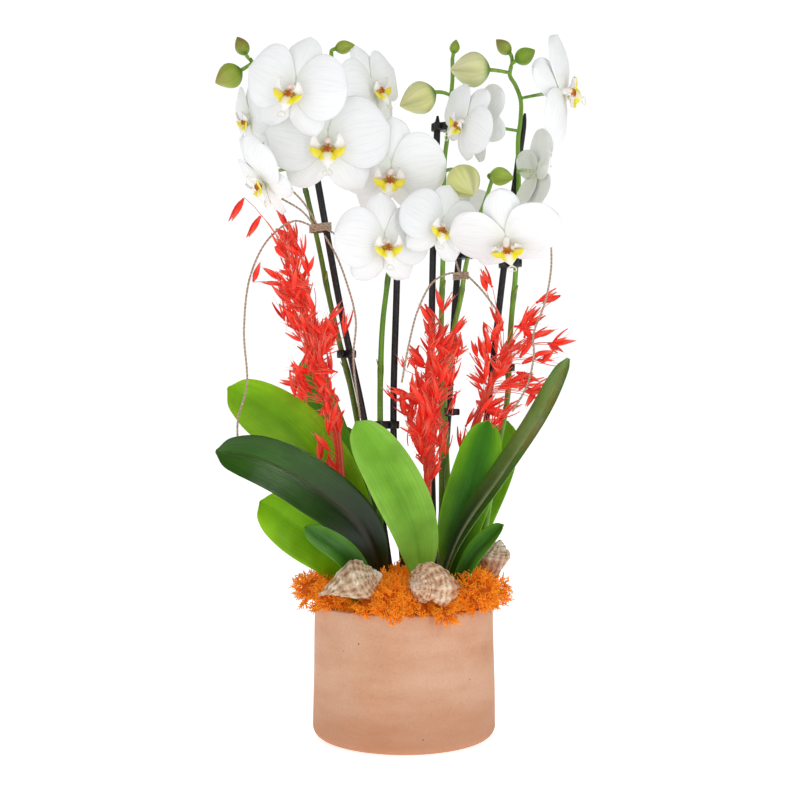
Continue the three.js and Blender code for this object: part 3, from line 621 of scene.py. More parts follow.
# %% Bark bed
BED_SIDES, BED_UNEVEN, CHIPS = 64, 0.1, 260
DOME = 5.0  # mm that the bed rises in the middle
bed_radius = inner - 0.6
bed = [(1, FLOOR_THICK + 0.5), (bed_radius, FLOOR_THICK + 0.5), (bed_radius, SOIL_TOP - 1 - DOME)]
bed += [(bed_radius * share, SOIL_TOP - 1 - DOME * share**2) for share in np.linspace(0.9, 0.02, 8)]
chips = []
for _ in range(CHIPS):
    radius, angle = bed_radius * 0.93 * math.sqrt(chance.uniform()), chance.uniform(0, 2 * np.pi)
    height = SOIL_TOP - 1 - DOME * (radius / bed_radius) ** 2
    at = (radius * math.cos(angle), radius * math.sin(angle), height + chance.uniform(-1, 1.5))
    chips.append(chip(at, chance.uniform(2.5, 5.5)))
piece("bark_bed", [turned(bed, BED_SIDES, BED_UNEVEN), *chips], [bark], "medium", "growing_medium")

# %% [markdown]
# ## Stakes, clips and knots
# Each spike is held to a black plastic-coated stake by small clips and by a few turns of jute. The
# stakes follow the plan's lines, and a clip is an oval collar round both with two ribbed grips.

# %% Black plastic
# Polypropylene, moulded: the eye gets near black with a soft satin line of light. IOR 1.49.
plastic, tree = fresh("black_polypropylene")
spot = node(tree, "TexCoord").outputs["Object"]
scuffs = node(tree, "TexNoise", {"Scale": 300, "Detail": 2}, {"Vector": spot})
body = node(tree, "ValToRGB", links={0: scuffs}, stops=[(0.4, "#131216"), (0.7, "#26242A")])
bump = node(tree, "Bump", {"Distance": 0.05 * MM}, {"Height": scuffs})
shader = node(
    tree, "BsdfPrincipled", {"Roughness": 0.34, "IOR": 1.49}, {"Base Color": body, "Normal": bump}
)
node(tree, "OutputMaterial", links={"Surface": shader})

# %% Stakes
STEM, STEM_TIP, STAKE = 3.1, 1.8, 3.0  # radii in mm
STAKE_DEPTH = 55  # mm that a stake goes down into the bed
FOOT = SOIL_TOP - DOME - STAKE_DEPTH - RIM  # where a stake's lower end is, from the rim
STAKES = {
    "left": [(-10, 16, 2), (-34, 16, 152), (-56, 13, 257), (-79, 8, 385)],
    "centre": [(1, 24, 2), (-9, 19, 137), (-6, 17, 297)],
    "mid": [(28, 35, 2), (25, 33, 150), (26, 26, 302), (30, 14, 430)],
    "mid_rear": [(31, 48, 2), (41, 44, 168), (50, 35, 306), (55, 31, 338)],
    "right": [(54, 30, 2), (75, 36, 159), (91, 35, 299), (109, 26, 435)],
}
stake_lines = {}
for name, points in STAKES.items():
    x, y, _ = points[0]
    line = rail(above([(x, y, FOOT), *points]), 90)
    radius = np.full(90, STAKE)
    radius[:3] = [0.6, 2.0, 2.8]
    radius[-3:] = [2.8, 2.2, 1.0]
    stake_lines[name] = line
    piece(f"rod_{name}", [round_skin(line, radius, 20)], [plastic], "stake", f"stake_{name}")

# %% Spike lines
ROOTED = -8.0  # where stems and leaves start, from the rim's plane
SPIKES = {
    "left": [
        (-14, 30, ROOTED), (-24, 28, 66), (-37, 26, 132), (-48, 22, 190), (-58, 17, 230),
        (-67, 14, 270), (-76, 12, 315), (-84, 10, 350), (-91, 9, 379), (-97, 12, 412),
        (-105, 14, 444), (-117, 10, 463), (-130, 4, 470), (-136, 2, 478),
    ],
    "centre": [
        (-20, 8, ROOTED), (-21, 8, 69), (-21, 10, 141), (-21, 14, 195), (-19, 18, 245),
        (-15, 18, 280), (-12, 18, 310), (-13, 16, 345), (-18, 14, 380), (-28, 14, 413),
        (-46, 12, 444), (-58, 8, 460), (-63, 4, 472), (-64, 0, 483),
    ],
    "mid": [
        (34, 23, ROOTED), (34, 22, 69), (34, 22, 141), (33, 21, 213), (34, 20, 267),
        (35, 19, 307), (36, 17, 351), (36, 12, 388), (39, 10, 414), (41, 11, 439),
        (43, 10, 461), (43, 10, 480),
    ],
    "mid_rear": [
        (42, 32, ROOTED), (41, 34, 64), (38, 34, 141), (37, 34, 177), (41, 33, 215),
        (46, 31, 245), (51, 28, 267), (55, 24, 294), (60, 20, 316), (67, 16, 340),
        (73, 12, 356), (78, 8, 372),
    ],
    "right": [
        (60, 18, ROOTED), (74, 24, 69), (86, 26, 141), (93, 26, 177), (95, 26, 222),
        (97, 26, 253), (100, 25, 285), (102, 24, 325), (103, 22, 370), (102, 18, 410),
        (104, 16, 427), (104, 14, 444), (99, 12, 457), (94, 10, 465), (95, 8, 473),
    ],
}  # fmt: skip
SPIKE_RINGS = 240
spike_lines = {name: rail(above(points), SPIKE_RINGS) for name, points in SPIKES.items()}
print("spikes, mm:", {name: round(length_of(line)) for name, line in spike_lines.items()})


def at_height(line, height):
    """The point of a line that is that far above the rim."""
    return line[np.argmin(np.abs(line[:, 2] - RIM - height))]


# %% Clips
def collar(first, second, wall, tall, waist):
    """An oval band round two rods: at angle a about each rod, its outline lies radius + wall from
    the rod's axis, and the straight parts between them draw in by waist. It is stacked in rings
    whose edges are rounded by a quarter circle."""
    across = second - first
    across[2] = 0
    gap = np.linalg.norm(across)
    way = across / gap
    aside = np.array([-way[1], way[0], 0])
    reach = max(STEM, STAKE) + 0.35 + wall
    half = np.radians(np.linspace(-90, 90, 9))
    right = np.stack([gap / 2 + reach * np.cos(half), reach * np.sin(half)], axis=-1)
    outline = np.vstack([right, -right])
    outline[:, 1] *= 1 - waist * np.exp(-((outline[:, 0] / (gap / 2 + 2)) ** 2))
    heights = tall / 2 * np.array([-1, -0.97, -0.85, 0.85, 0.97, 1])
    inset = np.array([0.7, 0.2, 0.0, 0.0, 0.2, 0.7])
    scale = 1 - inset[:, None] / reach
    middle = (first + second) / 2
    ring = (
        middle
        + (outline[:, 0] * scale)[..., None] * way
        + (outline[:, 1] * scale)[..., None] * aside
        + heights[:, None, None] * np.array([0, 0, 1.0])
    )
    return skin(ring), middle, way, aside, reach


def grip(middle, way, aside, reach, side):
    """A ribbed finger grip: a flat blade that leaves the collar at a slant, 7 mm long."""
    start = middle + aside * side * (reach - 1)
    end = start + aside * side * 6 + way * 3.5
    line = bent(start, start + aside * side * 4, end, 9)
    ribs = 1.1 + 0.35 * np.cos(np.arange(9) * np.pi)
    facing = np.broadcast_to(way, line.shape)
    width = np.full(9, 3.0)
    return blade_skin(line, facing, width, width, lambda u, v: 0 * u, 2 * ribs, 5)


CLIP_WALL, CLIP_TALL, CLIP_WAIST = 2.0, 7.0, 0.2  # mm, mm and a share
CLIPS = {  # spike; height above the rim
    "left": ("left", 217), "centre": ("centre", 155), "mid_top": ("mid", 420),
    "mid_rear": ("mid_rear", 308), "mid_low": ("mid_rear", 165),
    "right_low": ("right", 207), "right_mid": ("right", 299),
}  # fmt: skip
for name, (spike, height) in CLIPS.items():
    stem_at = at_height(spike_lines[spike], height)
    stake_at = at_height(stake_lines[spike], height)
    band, *frame_of = collar(stem_at, stake_at, CLIP_WALL, CLIP_TALL, CLIP_WAIST)
    grips = [grip(*frame_of, side) for side in (-1, 1)]
    piece(f"grip_{name}", [band, *grips], [plastic], "clip", f"clip_{name}")

# %% Jute knots
KNOT_TURNS, KNOT_TALL, KNOT_HAIRS = 4, 7.0, 16  # turns of twine, mm, and hairs on each strand
KNOTS = {  # spike; height above the rim; the routes of the loose ends
    "left": (
        "left", 330,
        [
            [(-78, 8, 330), (-90, -4, 343), (-107, -8, 353)],
            [(-76, 8, 331), (-88, -2, 350), (-100, -12, 362)],
            [(-70, 8, 329), (-62, 2, 324), (-53, -2, 316)],
        ],
    ),
    "mid": (
        "mid_rear", 290,
        [
            [(50, 26, 292), (44, 8, 304), (34, 2, 320)],
            [(56, 24, 290), (70, 14, 274), (84, 8, 254)],
        ],
    ),
}  # fmt: skip


def wound(first, second, turns, tall):
    """Twine wound round two rods: an oval of half axes gap / 2 + reach and reach, carried up by
    tall over the turns, with each turn a little slanted."""
    gap = np.linalg.norm((second - first)[:2])
    way = unit((second - first) * np.array([1, 1, 0]))
    aside = np.array([-way[1], way[0], 0])
    reach = max(STEM, STAKE) + TWINE * 0.6
    angle = np.linspace(0, 2 * np.pi * turns, 40 * turns)
    middle = (first + second) / 2
    return (
        middle
        + ((gap / 2 + reach) * np.cos(angle))[:, None] * way
        + (reach * np.sin(angle))[:, None] * aside
        + (tall * (angle / angle[-1] - 0.5) + 0.8 * np.cos(angle))[:, None] * np.array([0, 0, 1])
    )


for name, (spike, height, ends) in KNOTS.items():
    first, second = at_height(spike_lines[spike], height), at_height(stake_lines[spike], height)
    turns = [wound(first, second, KNOT_TURNS, KNOT_TALL)]
    loose = [rail(above(points), 40) for points in ends]
    strands = [twisted(line) for line in [*turns, *loose]]
    hairs = [hair for line in [*turns, *loose] for hair in fibres(line, KNOT_HAIRS)]
    piece(f"jute_knot_{name}", [*strands, *hairs], [jute], "twine", f"knot_{name}")

# %% [markdown]
# ## Stems, flower stalks and buds
# A spike is a round green stem with a joint every few centimetres, each wrapped by a small papery
# scale. Flower stalks leave it in turn, and turn from green to near white where they meet the
# flower. A bud is three closed sepals, so it has three seams that meet at its tip.

# %% Stem and bud finish
# Living stem: a smooth waxy skin over wet tissue. The eye gets a fresh green with a soft satin line
# and faint long streaks. IOR of plant wax is about 1.45.
stem_skin, tree = fresh("waxy_orchid_stem")
spot = node(tree, "TexCoord").outputs["Object"]
drawn = node(tree, "Mapping", {"Scale": (420, 420, 30)}, {"Vector": spot})
streaks = node(tree, "TexNoise", {"Scale": 1, "Detail": 3}, {"Vector": drawn})
shade = node(tree, "ValToRGB", links={0: streaks}, stops=[(0.3, "#D2D2C4"), (0.6, "#FFFFFF")])
body = node(tree, "Mix", TIMES, {6: node(tree, "Attribute", TINT), 7: shade})
bump = node(tree, "Bump", {"Distance": 0.12 * MM}, {"Height": streaks})
WAX = {"Roughness": 0.38, "IOR": 1.45, "Subsurface Weight": 0.1, "Subsurface Scale": 0.003}
shader = node(tree, "BsdfPrincipled", WAX, {"Base Color": body, "Normal": bump})
node(tree, "OutputMaterial", links={"Surface": shader})

# Closed sepals: the same wax over paler tissue. The veins run from the base to the tip.
bud_wax, tree = fresh("waxy_bud_sepal")
chart = node(tree, "UVMap", {"uv_map": "UVMap"})
drawn = node(tree, "Mapping", {"Scale": (30, 2, 1)}, {"Vector": chart})
veins = node(tree, "TexNoise", {"Scale": 1, "Detail": 2}, {"Vector": drawn})
shade = node(tree, "ValToRGB", links={0: veins}, stops=[(0.3, "#F0EFDC"), (0.6, "#FFFFFF")])
body = node(tree, "Mix", TIMES, {6: node(tree, "Attribute", TINT), 7: shade})
shader = node(tree, "BsdfPrincipled", {**WAX, "Subsurface Weight": 0.25}, {"Base Color": body})
node(tree, "OutputMaterial", links={"Surface": shader})

# %% Buds and flowers of the plan
BUDS = [  # spike; middle; the way the tip points; length; radius; green; flush
    ("left", (-154, -2, 461), (-1, 0, -0.5), 26, 12, "#97AE3A", "#A08A45"),
    ("left", (-143, 2, 489), (-0.5, 0, 1), 18, 7, "#8C9A38", "#8F6A3C"),
    ("centre", (-52, -2, 487), (1, 0, 0.2), 18, 6.5, "#9DAE42", "#94713F"),
    ("mid", (12, -4, 441), (-1, 0, -0.4), 34, 15.5, "#D8DA98", "#E8E5B8"),
    ("mid", (52, -26, 364), (0.4, -0.5, -0.7), 34, 15.5, "#D8DC92", "#EEEBC6"),
    ("mid", (45, 8, 490), (0.2, 0, 1), 13, 5, "#8FA53A", "#7F6A3A"),
    ("mid_rear", (86, 2, 374), (1, -0.3, -0.2), 22, 9, "#A6C04A", "#B9CB6C"),
    ("right", (58, -6, 466), (-1, 0, 0), 35, 16.5, "#DADCA6", "#EAE7C0"),
    ("right", (88, 8, 490), (-0.8, 0, 0.8), 18, 6.5, "#9AA944", "#8C6A3E"),
    ("right", (107, 4, 481), (0.9, 0, 0.5), 20, 8.5, "#86A82F", "#9BB24A"),
]
FLOWERS = [  # spike; heart; turn, tilt and roll in degrees; size
    ("left", (-92, -52, 438), -20, -5, 16, 0.92),
    ("centre", (-65, -30, 397), 0, -5, 0, 1.05),
    ("left", (-122, -24, 368), -65, -33, -20, 0.85),
    ("left", (-136, 10, 428), -60, -10, 10, 0.72),
    ("centre", (-27, -6, 450), 50, 5, -20, 0.8),
    ("centre", (-11, -15, 375), -8, -20, 4, 0.94),
    ("centre", (-17, -40, 311), 22, -5, -4, 0.86),
    ("mid", (31, -38, 325), 20, -6, 12, 0.74),
    ("mid", (52, -28, 415), -55, 0, 45, 0.7),
    ("right", (67, 0, 420), -62, 5, -30, 0.72),
    ("right", (137, -4, 447), 65, 0, -80, 0.96),
    ("right", (115, -16, 374), 112, -8, -82, 0.74),
    ("mid_rear", (86, -52, 313), -8, -52, -10, 0.94),
    ("mid_rear", (48, 44, 342), 168, -8, 0, 0.75),
]
COLUMN = 4.2  # radius of a full-sized flower's heart in mm


def nearest(line, point):
    """The point of a line that is nearest to a point."""
    return line[np.argmin(np.linalg.norm(line - point, axis=1))]


def along_axis(direction):
    """The matrix that turns +Z to a direction."""
    return np.array(Vector(direction).to_track_quat("Z", "Y").to_matrix())


def bud_skin(middle, direction, length, radius, green, flush):
    """An egg with three seams. Its radius is a rounded profile p(v) less a groove where the sepals
    meet: p(v) * (1 - 0.09 * |cos(1.5 a)|^14), which fades in from the base to the middle."""
    v = (1 - np.cos(np.linspace(0.04, np.pi - 0.02, 30))) / 2
    angle = np.linspace(0, 2 * np.pi, 36, endpoint=False)[None, :]
    profile = np.sin(np.pi * v**0.85) ** 0.72 * (1 - 0.22 * v**3)
    seam = np.abs(np.cos(1.5 * angle + 0.5)) ** 14 * step(0.1, 0.6, v)[:, None]
    round_to = radius * profile[:, None] * (1 - 0.09 * seam)
    ring = np.stack(
        [
            round_to * np.cos(angle),
            round_to * np.sin(angle) * 0.94,
            length * (v[:, None] - 0.5) + 0 * angle,
        ],
        axis=-1,
    )
    side = step(0.1, 0.9, 0.5 + 0.5 * np.sin(angle + 1))
    colour = tinted(
        green, (flush, 0.75 * step(0.2, 1.0, v)[:, None] * side), ("#8C9440", 0.5 * seam),
        ("#5E8A22", 1 - step(0.02, 0.22, v)[:, None] + 0 * angle),
    )
    return moved(skin(ring, colour, part=1), along_axis(direction), middle)


# %% Spikes
FIRST_JOINT, JOINT_STEP = 24, 38  # rings of a spike up to its first joint, and between two
STEM_GREENS = {  # at the foot and at the tip
    "left": ("#5B7A1E", "#6E8B2A"), "centre": ("#5E9A22", "#7FAE3A"), "mid": ("#639C22", "#8DB544"),
    "mid_rear": ("#679F24", "#8FB848"), "right": ("#5F9A1F", "#84B03C"),
}  # fmt: skip


def joint_scale(line, i, size, turn):
    """The scale at a joint of the stem: a short blade that hugs the stem and ends in a point."""
    ahead, side, third = directions(line)
    out = side[i] * math.cos(turn) + third[i] * math.sin(turn)
    start = line[i] + out * (size * 0.72)
    path = bent(start, start + ahead[i] * 5 + out * 0.6, start + ahead[i] * 10 + out * 1.6, 9)
    share = np.linspace(0, 1, 9)
    width = size * 1.05 * (1 - share**1.6) + 0.15
    wrap = lambda u, v: -(u**2) * size * 0.75 * (1 - v)
    colour = lambda u, v, layer: tinted("#8FA24A", ("#A98F56", step(0.4, 1, v)), ("#6C7C2E", u**4))
    return blade_skin(path, np.broadcast_to(out, path.shape), width, width, wrap, 0.7, 5, colour)


def flower_stalk(spike, heart, turn, tilt, roll, size):
    """From the stem to behind the flower's heart, thicker and paler towards the flower."""
    heart = above(heart)
    back = spun(turn, tilt, roll) @ np.array([0, 1.0, 0])
    bend = heart + back * 20
    line = bent(nearest(spike_lines[spike], bend), bend, heart + back * COLUMN * size, 22)
    share = np.linspace(0, 1, 22)
    colour = tinted(
        "#7FAE3A", ("#DDE5BE", step(0.35, 0.95, share)[:, None] * np.ones((1, 10)))
    )
    return round_skin(line, 1.35 + 0.75 * share**2, 10, colour)


def bud_stalk(spike, middle, direction, length):
    """From the stem up into the bud's base."""
    middle, direction = above(middle), unit(direction)
    base = middle - direction * length / 2
    start = nearest(spike_lines[spike], base)
    line = bent(start, base - direction * 4, base + direction * length * 0.12, 16)
    green = tinted("#6F9A2C", ("#86AC3A", np.ones((16, 10))))
    return round_skin(line, np.linspace(1.5, 1.8, 16), 10, green)


for name, line in spike_lines.items():
    share = np.linspace(0, 1, len(line))
    radius = STEM + (STEM_TIP - STEM) * share
    joints = np.arange(FIRST_JOINT, len(line) - 30, JOINT_STEP)
    swell = sum(np.exp(-(((np.arange(len(line)) - j) / 3.0) ** 2)) for j in joints)
    radius = radius * (1 + 0.16 * swell)
    low, high = STEM_GREENS[name]
    weight = np.broadcast_to(share[:, None], (len(line), 14))
    ring = np.broadcast_to(swell[:, None], (len(line), 14))
    tints = tinted(low, (high, weight), ("#4B5E1C", 0.5 * ring))
    skins = [round_skin(line, radius, 14, tints)]
    skins += [joint_scale(line, j, radius[j], 2.4 * k) for k, j in enumerate(joints)]
    skins += [flower_stalk(*flower) for flower in FLOWERS if flower[0] == name]
    for bud in (bud for bud in BUDS if bud[0] == name):
        skins.append(bud_stalk(*bud[:4]))
        skins.append(bud_skin(above(bud[1]), unit(bud[2]), *bud[3:]))
    piece(f"stem_{name}", skins, [stem_skin, bud_wax], "stem", f"spike_{name}")

# %% [markdown]
# ## Flowers
# A moth orchid has three sepals behind, two very broad petals in front of them, and a small lip
# under the column. Petals are the widest part: narrow at the claw, then round like a fan. Each
# tepal is a blade whose edges fall back and ripple a little. The lip is built of two upright side
# lobes, a spotted crest and a pointed middle lobe with two fine curls.

# %% Petal finish
# Living petal: thin, cool white tissue full of water and air. The eye gets soft white with light
# passing through, faint veins that fan out, and a silky rather than glossy skin.
petal, tree = fresh("white_petal_tissue")
chart = node(tree, "UVMap", {"uv_map": "UVMap"})
spread = node(tree, "Mapping", {"Scale": (24, 1.6, 1)}, {"Vector": chart})
veins = node(tree, "TexNoise", {"Scale": 1.4, "Detail": 3, "Roughness": 0.5}, {"Vector": spread})
pale = node(tree, "ValToRGB", links={0: veins}, stops=[(0.25, "#F5F6F9"), (0.6, "#FFFFFF")])
body = node(tree, "Mix", TIMES, {6: node(tree, "Attribute", TINT), 7: pale})
bump = node(tree, "Bump", {"Distance": 0.2 * MM, "Strength": 0.5}, {"Height": veins})
TISSUE = {
    "Roughness": 0.5,
    "IOR": 1.4,
    "Subsurface Weight": 0.4,
    "Subsurface Radius": (1.0, 0.95, 0.9),
    "Subsurface Scale": 0.0025,
    "Sheen Weight": 0.08,
    "Sheen Roughness": 0.4,
}
shader = node(tree, "BsdfPrincipled", TISSUE, {"Base Color": body, "Normal": bump})
node(tree, "OutputMaterial", links={"Surface": shader})

# Lip and column: the same tissue, firmer and waxier, painted yellow, orange and red.
lip_skin, tree = fresh("waxy_lip_tissue")
FIRM = {"Roughness": 0.4, "IOR": 1.4, "Subsurface Weight": 0.15, "Subsurface Scale": 0.0012}
shader = node(tree, "BsdfPrincipled", FIRM, {"Base Color": node(tree, "Attribute", TINT)})
node(tree, "OutputMaterial", links={"Surface": shader})


# %% Petals and sepals
def tepal(angle, length, upper, lower, widest, sweep, depth, phase, claw, green):
    """One tepal. Its line leaves the heart at angle degrees from upright. The half width rises from
    the claw as sin(pi/2 * (v/c)^0.85) and closes almost as an ellipse after the widest share c."""
    s = np.linspace(0, 1, 30)
    v = 1 - (1 - s) ** 1.6
    turn = math.radians(angle)
    out = np.array([math.sin(turn), 0, math.cos(turn)])
    t = v[:, None]
    line = np.array([0, depth, 0]) * (1 - t) + out * length * t
    line[:, 1] += (-3.2 * np.sin(np.pi * v) + sweep * v**2.2) + depth * v

    def half(width):
        """The half width at each v, from the formula above."""
        rising = claw + (1 - claw) * np.sin(np.pi / 2 * np.clip(v / widest, 0, 1) ** 0.85)
        falling = np.sqrt(1 - np.clip((v - widest) / (1 - widest), 0, 0.999) ** 2.2)
        return width * np.where(v < widest, rising, falling) + 0.2

    def lift(u, v):
        """The edges fall back as u^2, ripple a little, and a crease runs down the middle."""
        fall = -3.6 * u**2 * step(0, 0.5, v)
        ripple = 0.7 * np.sin(5 * u + phase) * np.sin(9 * v + 2 * phase) * np.abs(u) ** 2
        crease = 0.5 * np.exp(-((u / 0.07) ** 2)) * (1 - v)
        return fall + ripple * step(0.3, 0.9, v) - crease

    def colour(u, v, layer):
        """Cool white, greener towards the claw and duller behind."""
        near = 1 - step(0.0, 0.34, v)
        return tinted(
            "#F8F9FB", ("#E2E9C4", green * near), ("#F2F4E8", 0.5 * (1 - np.abs(u)) * (1 - v)),
            ("#F3F5E4", 0.4 * (layer < 0) * np.ones_like(u)),
        )

    facing = np.broadcast_to(np.array([0, -1.0, 0]), line.shape)
    right, left = (upper, lower) if angle > 0 else (lower, upper)
    thick = 0.5 + 0.7 * (1 - v)
    return blade_skin(line, facing, half(left), half(right), lift, thick, 17, colour, 0, v)


def lobe(points, width, cup, colour, thick=0.9, facing=(0, -1, 0), columns=9, power=0.8):
    """A small blade of the lip through three points: half width = width * sin(pi * v^power)."""
    line = bent(*points, 18)
    v = np.linspace(0.02, 0.97, 18)
    half = width * np.sin(np.pi * v**power) + 0.15
    face = np.broadcast_to(np.array(facing, float), line.shape)
    return blade_skin(line, face, half, half, lambda u, v: cup * u**2, thick, columns, colour, 1, v)


def side_lobe(side):
    """An upright ear of the lip: it leaves the foot of the column, swings out and up and curls in.
    It is clear white with fine red lines, and yellow at its foot."""

    def colour(u, v, layer):
        """White, with lines where sin(30 v) peaks and a yellow foot."""
        lines = step(0.6, 0.95, np.sin(30 * v)) * (1 - step(0.35, 0.5, v))
        foot = 1 - step(0.12, 0.34, v)
        rim = 0.6 * u**6
        return tinted("#F6F4F2", ("#EBDD30", foot), ("#B4664A", 0.45 * lines), ("#DCD2D6", rim))

    points = [(side * 2.5, -5, -6), (side * 12.5, -9, -7), (side * 8.5, -14, 7)]
    return lobe(points, 5.2, 2.4, colour, 0.8, (side * 0.3, -1, 0.1), 10)


def wing(side):
    """The yellow shoulder on each side of the tongue's root."""

    def colour(u, v, layer):
        """Yellow, rusty at its root and paler at its edges."""
        return tinted("#EFE02E", ("#B4581E", 1 - step(0.08, 0.3, v)), ("#F6EFA0", 0.6 * u**4))

    points = [(side * 1.5, -8, -8), (side * 9, -13.5, -11.5), (side * 14.5, -13, -4)]
    return lobe(points, 3.6, -1.2, colour, 1.0, (0, -1, 0.2), 7)


def middle_lobe():
    """The tongue: it juts out and hangs down to a point, with a yellow band along each side of its
    upper half, red lines between them and a white tip."""

    def colour(u, v, layer):
        """White, with a band at each side and a red line in the middle."""
        bands = step(0.15, 0.45, np.abs(u)) * (1 - step(0.5, 0.68, v))
        lines = np.exp(-((u / 0.16) ** 2)) * (1 - step(0.25, 0.5, v))
        return tinted("#F8F7F2", ("#EFDF2A", bands), ("#C0682A", 0.85 * lines))

    return lobe([(0, -9, -7), (0, -18, -12), (0, -13.5, -23)], 7.4, -2.6, colour, 1.2, power=0.62)


def crest():
    """A five-lobed knob of radius 4.6 * (0.72 + 0.28 cos 5a), orange with a dark heart."""
    angle = np.linspace(0, 2 * np.pi, 40, endpoint=False)[None, :]
    v = np.linspace(0.05, 0.98, 9)[:, None]
    radius = 4.6 * (0.72 + 0.28 * np.cos(5 * angle)) * np.sqrt(1 - v**2) ** 0.8
    ring = np.stack(
        [radius * np.cos(angle), -4.2 * v + 0 * angle, radius * np.sin(angle)], axis=-1
    )
    colour = tinted(
        "#D8861E", ("#A04A18", step(0.45, 0.95, v) + 0 * angle),
        ("#EBC02A", 0.5 * (1 - v) ** 2 + 0 * angle),
    )
    return moved(skin(ring, colour, part=1), offset=(0, -9, -5.5))


def column():
    """The column: a short arched tube that ends in a rounded cap, white with a faint blush."""
    line = bent((0, 3, -1), (0, -6, 2.2), (0, -11.5, -0.4), 20)
    v = np.linspace(0, 1, 20)
    cap = np.sqrt(1 - np.clip((v - 0.78) / 0.225, 0, 0.98) ** 2)
    radius = 0.76 * COLUMN * (0.8 + 0.15 * np.sin(np.pi * v)) * cap
    weight = np.broadcast_to(step(0.6, 0.95, v)[:, None], (20, 16))
    return round_skin(line, radius, 16, tinted("#F5F1EF", ("#EBCDBE", 0.7 * weight)), 1)


def curl(side):
    """One of the two fine threads at the tip of the tongue: an arc that turns back on itself."""
    angle = np.linspace(0, 1.3 * np.pi, 20)
    line = np.stack(
        [
            side * (0.2 + 3.6 * np.sin(angle / 1.15)),
            -13.4 - 2.0 * np.sin(angle / 2),
            -22.4 - 2.6 * (1 - np.cos(angle)),
        ],
        axis=-1,
    )
    white = tinted("#FBFAF4", ("#E8E6D2", np.ones((20, 6))))
    return round_skin(line, np.linspace(0.75, 0.25, 20), 6, white, 1)


def blossom(number):
    """A whole flower that looks along -Y, in mm at full size, with its own small differences."""
    own = np.random.default_rng(100 + number)
    wave = own.uniform(0, 6, 5)
    shift = own.normal(0, 1.0, 10)
    tepals = [
        tepal(0 + 2 * shift[0], 49, 17.5, 17.5, 0.56, 6.5 + shift[1], 1.6, wave[0], 0.3, 0.8),
        tepal(140 + 2 * shift[2], 46, 17, 16, 0.5, 5 + shift[3], 1.6, wave[1], 0.34, 1.0),
        tepal(-140 + 2 * shift[4], 46, 17, 16, 0.5, 5 + shift[5], 1.6, wave[2], 0.34, 1.0),
        tepal(78 + 2 * shift[6], 52, 31, 28, 0.52, 3.5 + shift[7], -1.2, wave[3], 0.13, 0.5),
        tepal(-78 + 2 * shift[8], 52, 31, 28, 0.52, 3.5 + shift[9], -1.2, wave[4], 0.13, 0.5),
    ]
    lip = [part(side) for part in (side_lobe, wing, curl) for side in (-1, 1)]
    lip += [middle_lobe(), crest(), column()]
    return tepals + lip


for number, (_, heart, turn, tilt, roll, size) in enumerate(FLOWERS, 1):
    skins = [moved(s, spun(turn, tilt, roll), above(heart), size) for s in blossom(number)]
    piece(f"bloom_{number:02d}", skins, [petal, lip_skin], "petal", f"flower_{number:02d}")

# %% [markdown]
# ## Leaves
# An orchid leaf is thick and leathery. It leaves the crown as a narrow folded neck, opens to a
# broad strap and ends in a rounded tip, with a groove along its midrib. It is one blade, whose two
# halves rise from the groove. Young leaves are bright and satin, and old ones dark and glossy.


# %% Leaf finish
LEAF_SKINS = {  # the cuticle of a leaf: young and satin, or old, dark and glossy. IOR 1.45.
    "satin": {"Roughness": 0.42, "IOR": 1.45, "Specular IOR Level": 0.24},
    "gloss": {
        "Roughness": 0.34,
        "IOR": 1.45,
        "Specular IOR Level": 0.12,
        "Coat Weight": 0.6,
        "Coat Roughness": 0.09,
    },
}
cuticles = {}
for name, settings in LEAF_SKINS.items():
    # The eye gets fine parallel veins along the blade, soft paler patches, and a shine that the
    # veins break into streaks.
    cuticles[name], tree = fresh(f"{name}_leaf_cuticle")
    spot = node(tree, "TexCoord").outputs["Object"]
    chart = node(tree, "UVMap", {"uv_map": "UVMap"})
    drawn = node(tree, "Mapping", {"Scale": (56, 2.5, 1)}, {"Vector": chart})
    veins = node(tree, "TexNoise", {"Scale": 1, "Detail": 3}, {"Vector": drawn})
    blotch = node(tree, "TexNoise", {"Scale": 34, "Detail": 3}, {"Vector": spot})
    shade = node(tree, "ValToRGB", links={0: veins}, stops=[(0.3, "#E4E8D8"), (0.6, "#FFFFFF")])
    patch = node(tree, "ValToRGB", links={0: blotch}, stops=[(0.35, "#DEE2C8"), (0.6, "#FFFFFF")])
    body = node(tree, "Mix", TIMES, {6: node(tree, "Attribute", TINT), 7: shade})
    body = node(tree, "Mix", TIMES, {6: body, 7: patch})
    relief = node(tree, "Mix", {**BLEND, 0: 0.4}, {6: veins, 7: blotch})
    bump = node(tree, "Bump", {"Distance": 0.6 * MM, "Strength": 0.7}, {"Height": relief})
    feeds = {"Base Color": body, "Normal": bump, "Coat Normal": bump}
    shader = node(tree, "BsdfPrincipled", settings, feeds)
    node(tree, "OutputMaterial", links={"Surface": shader})

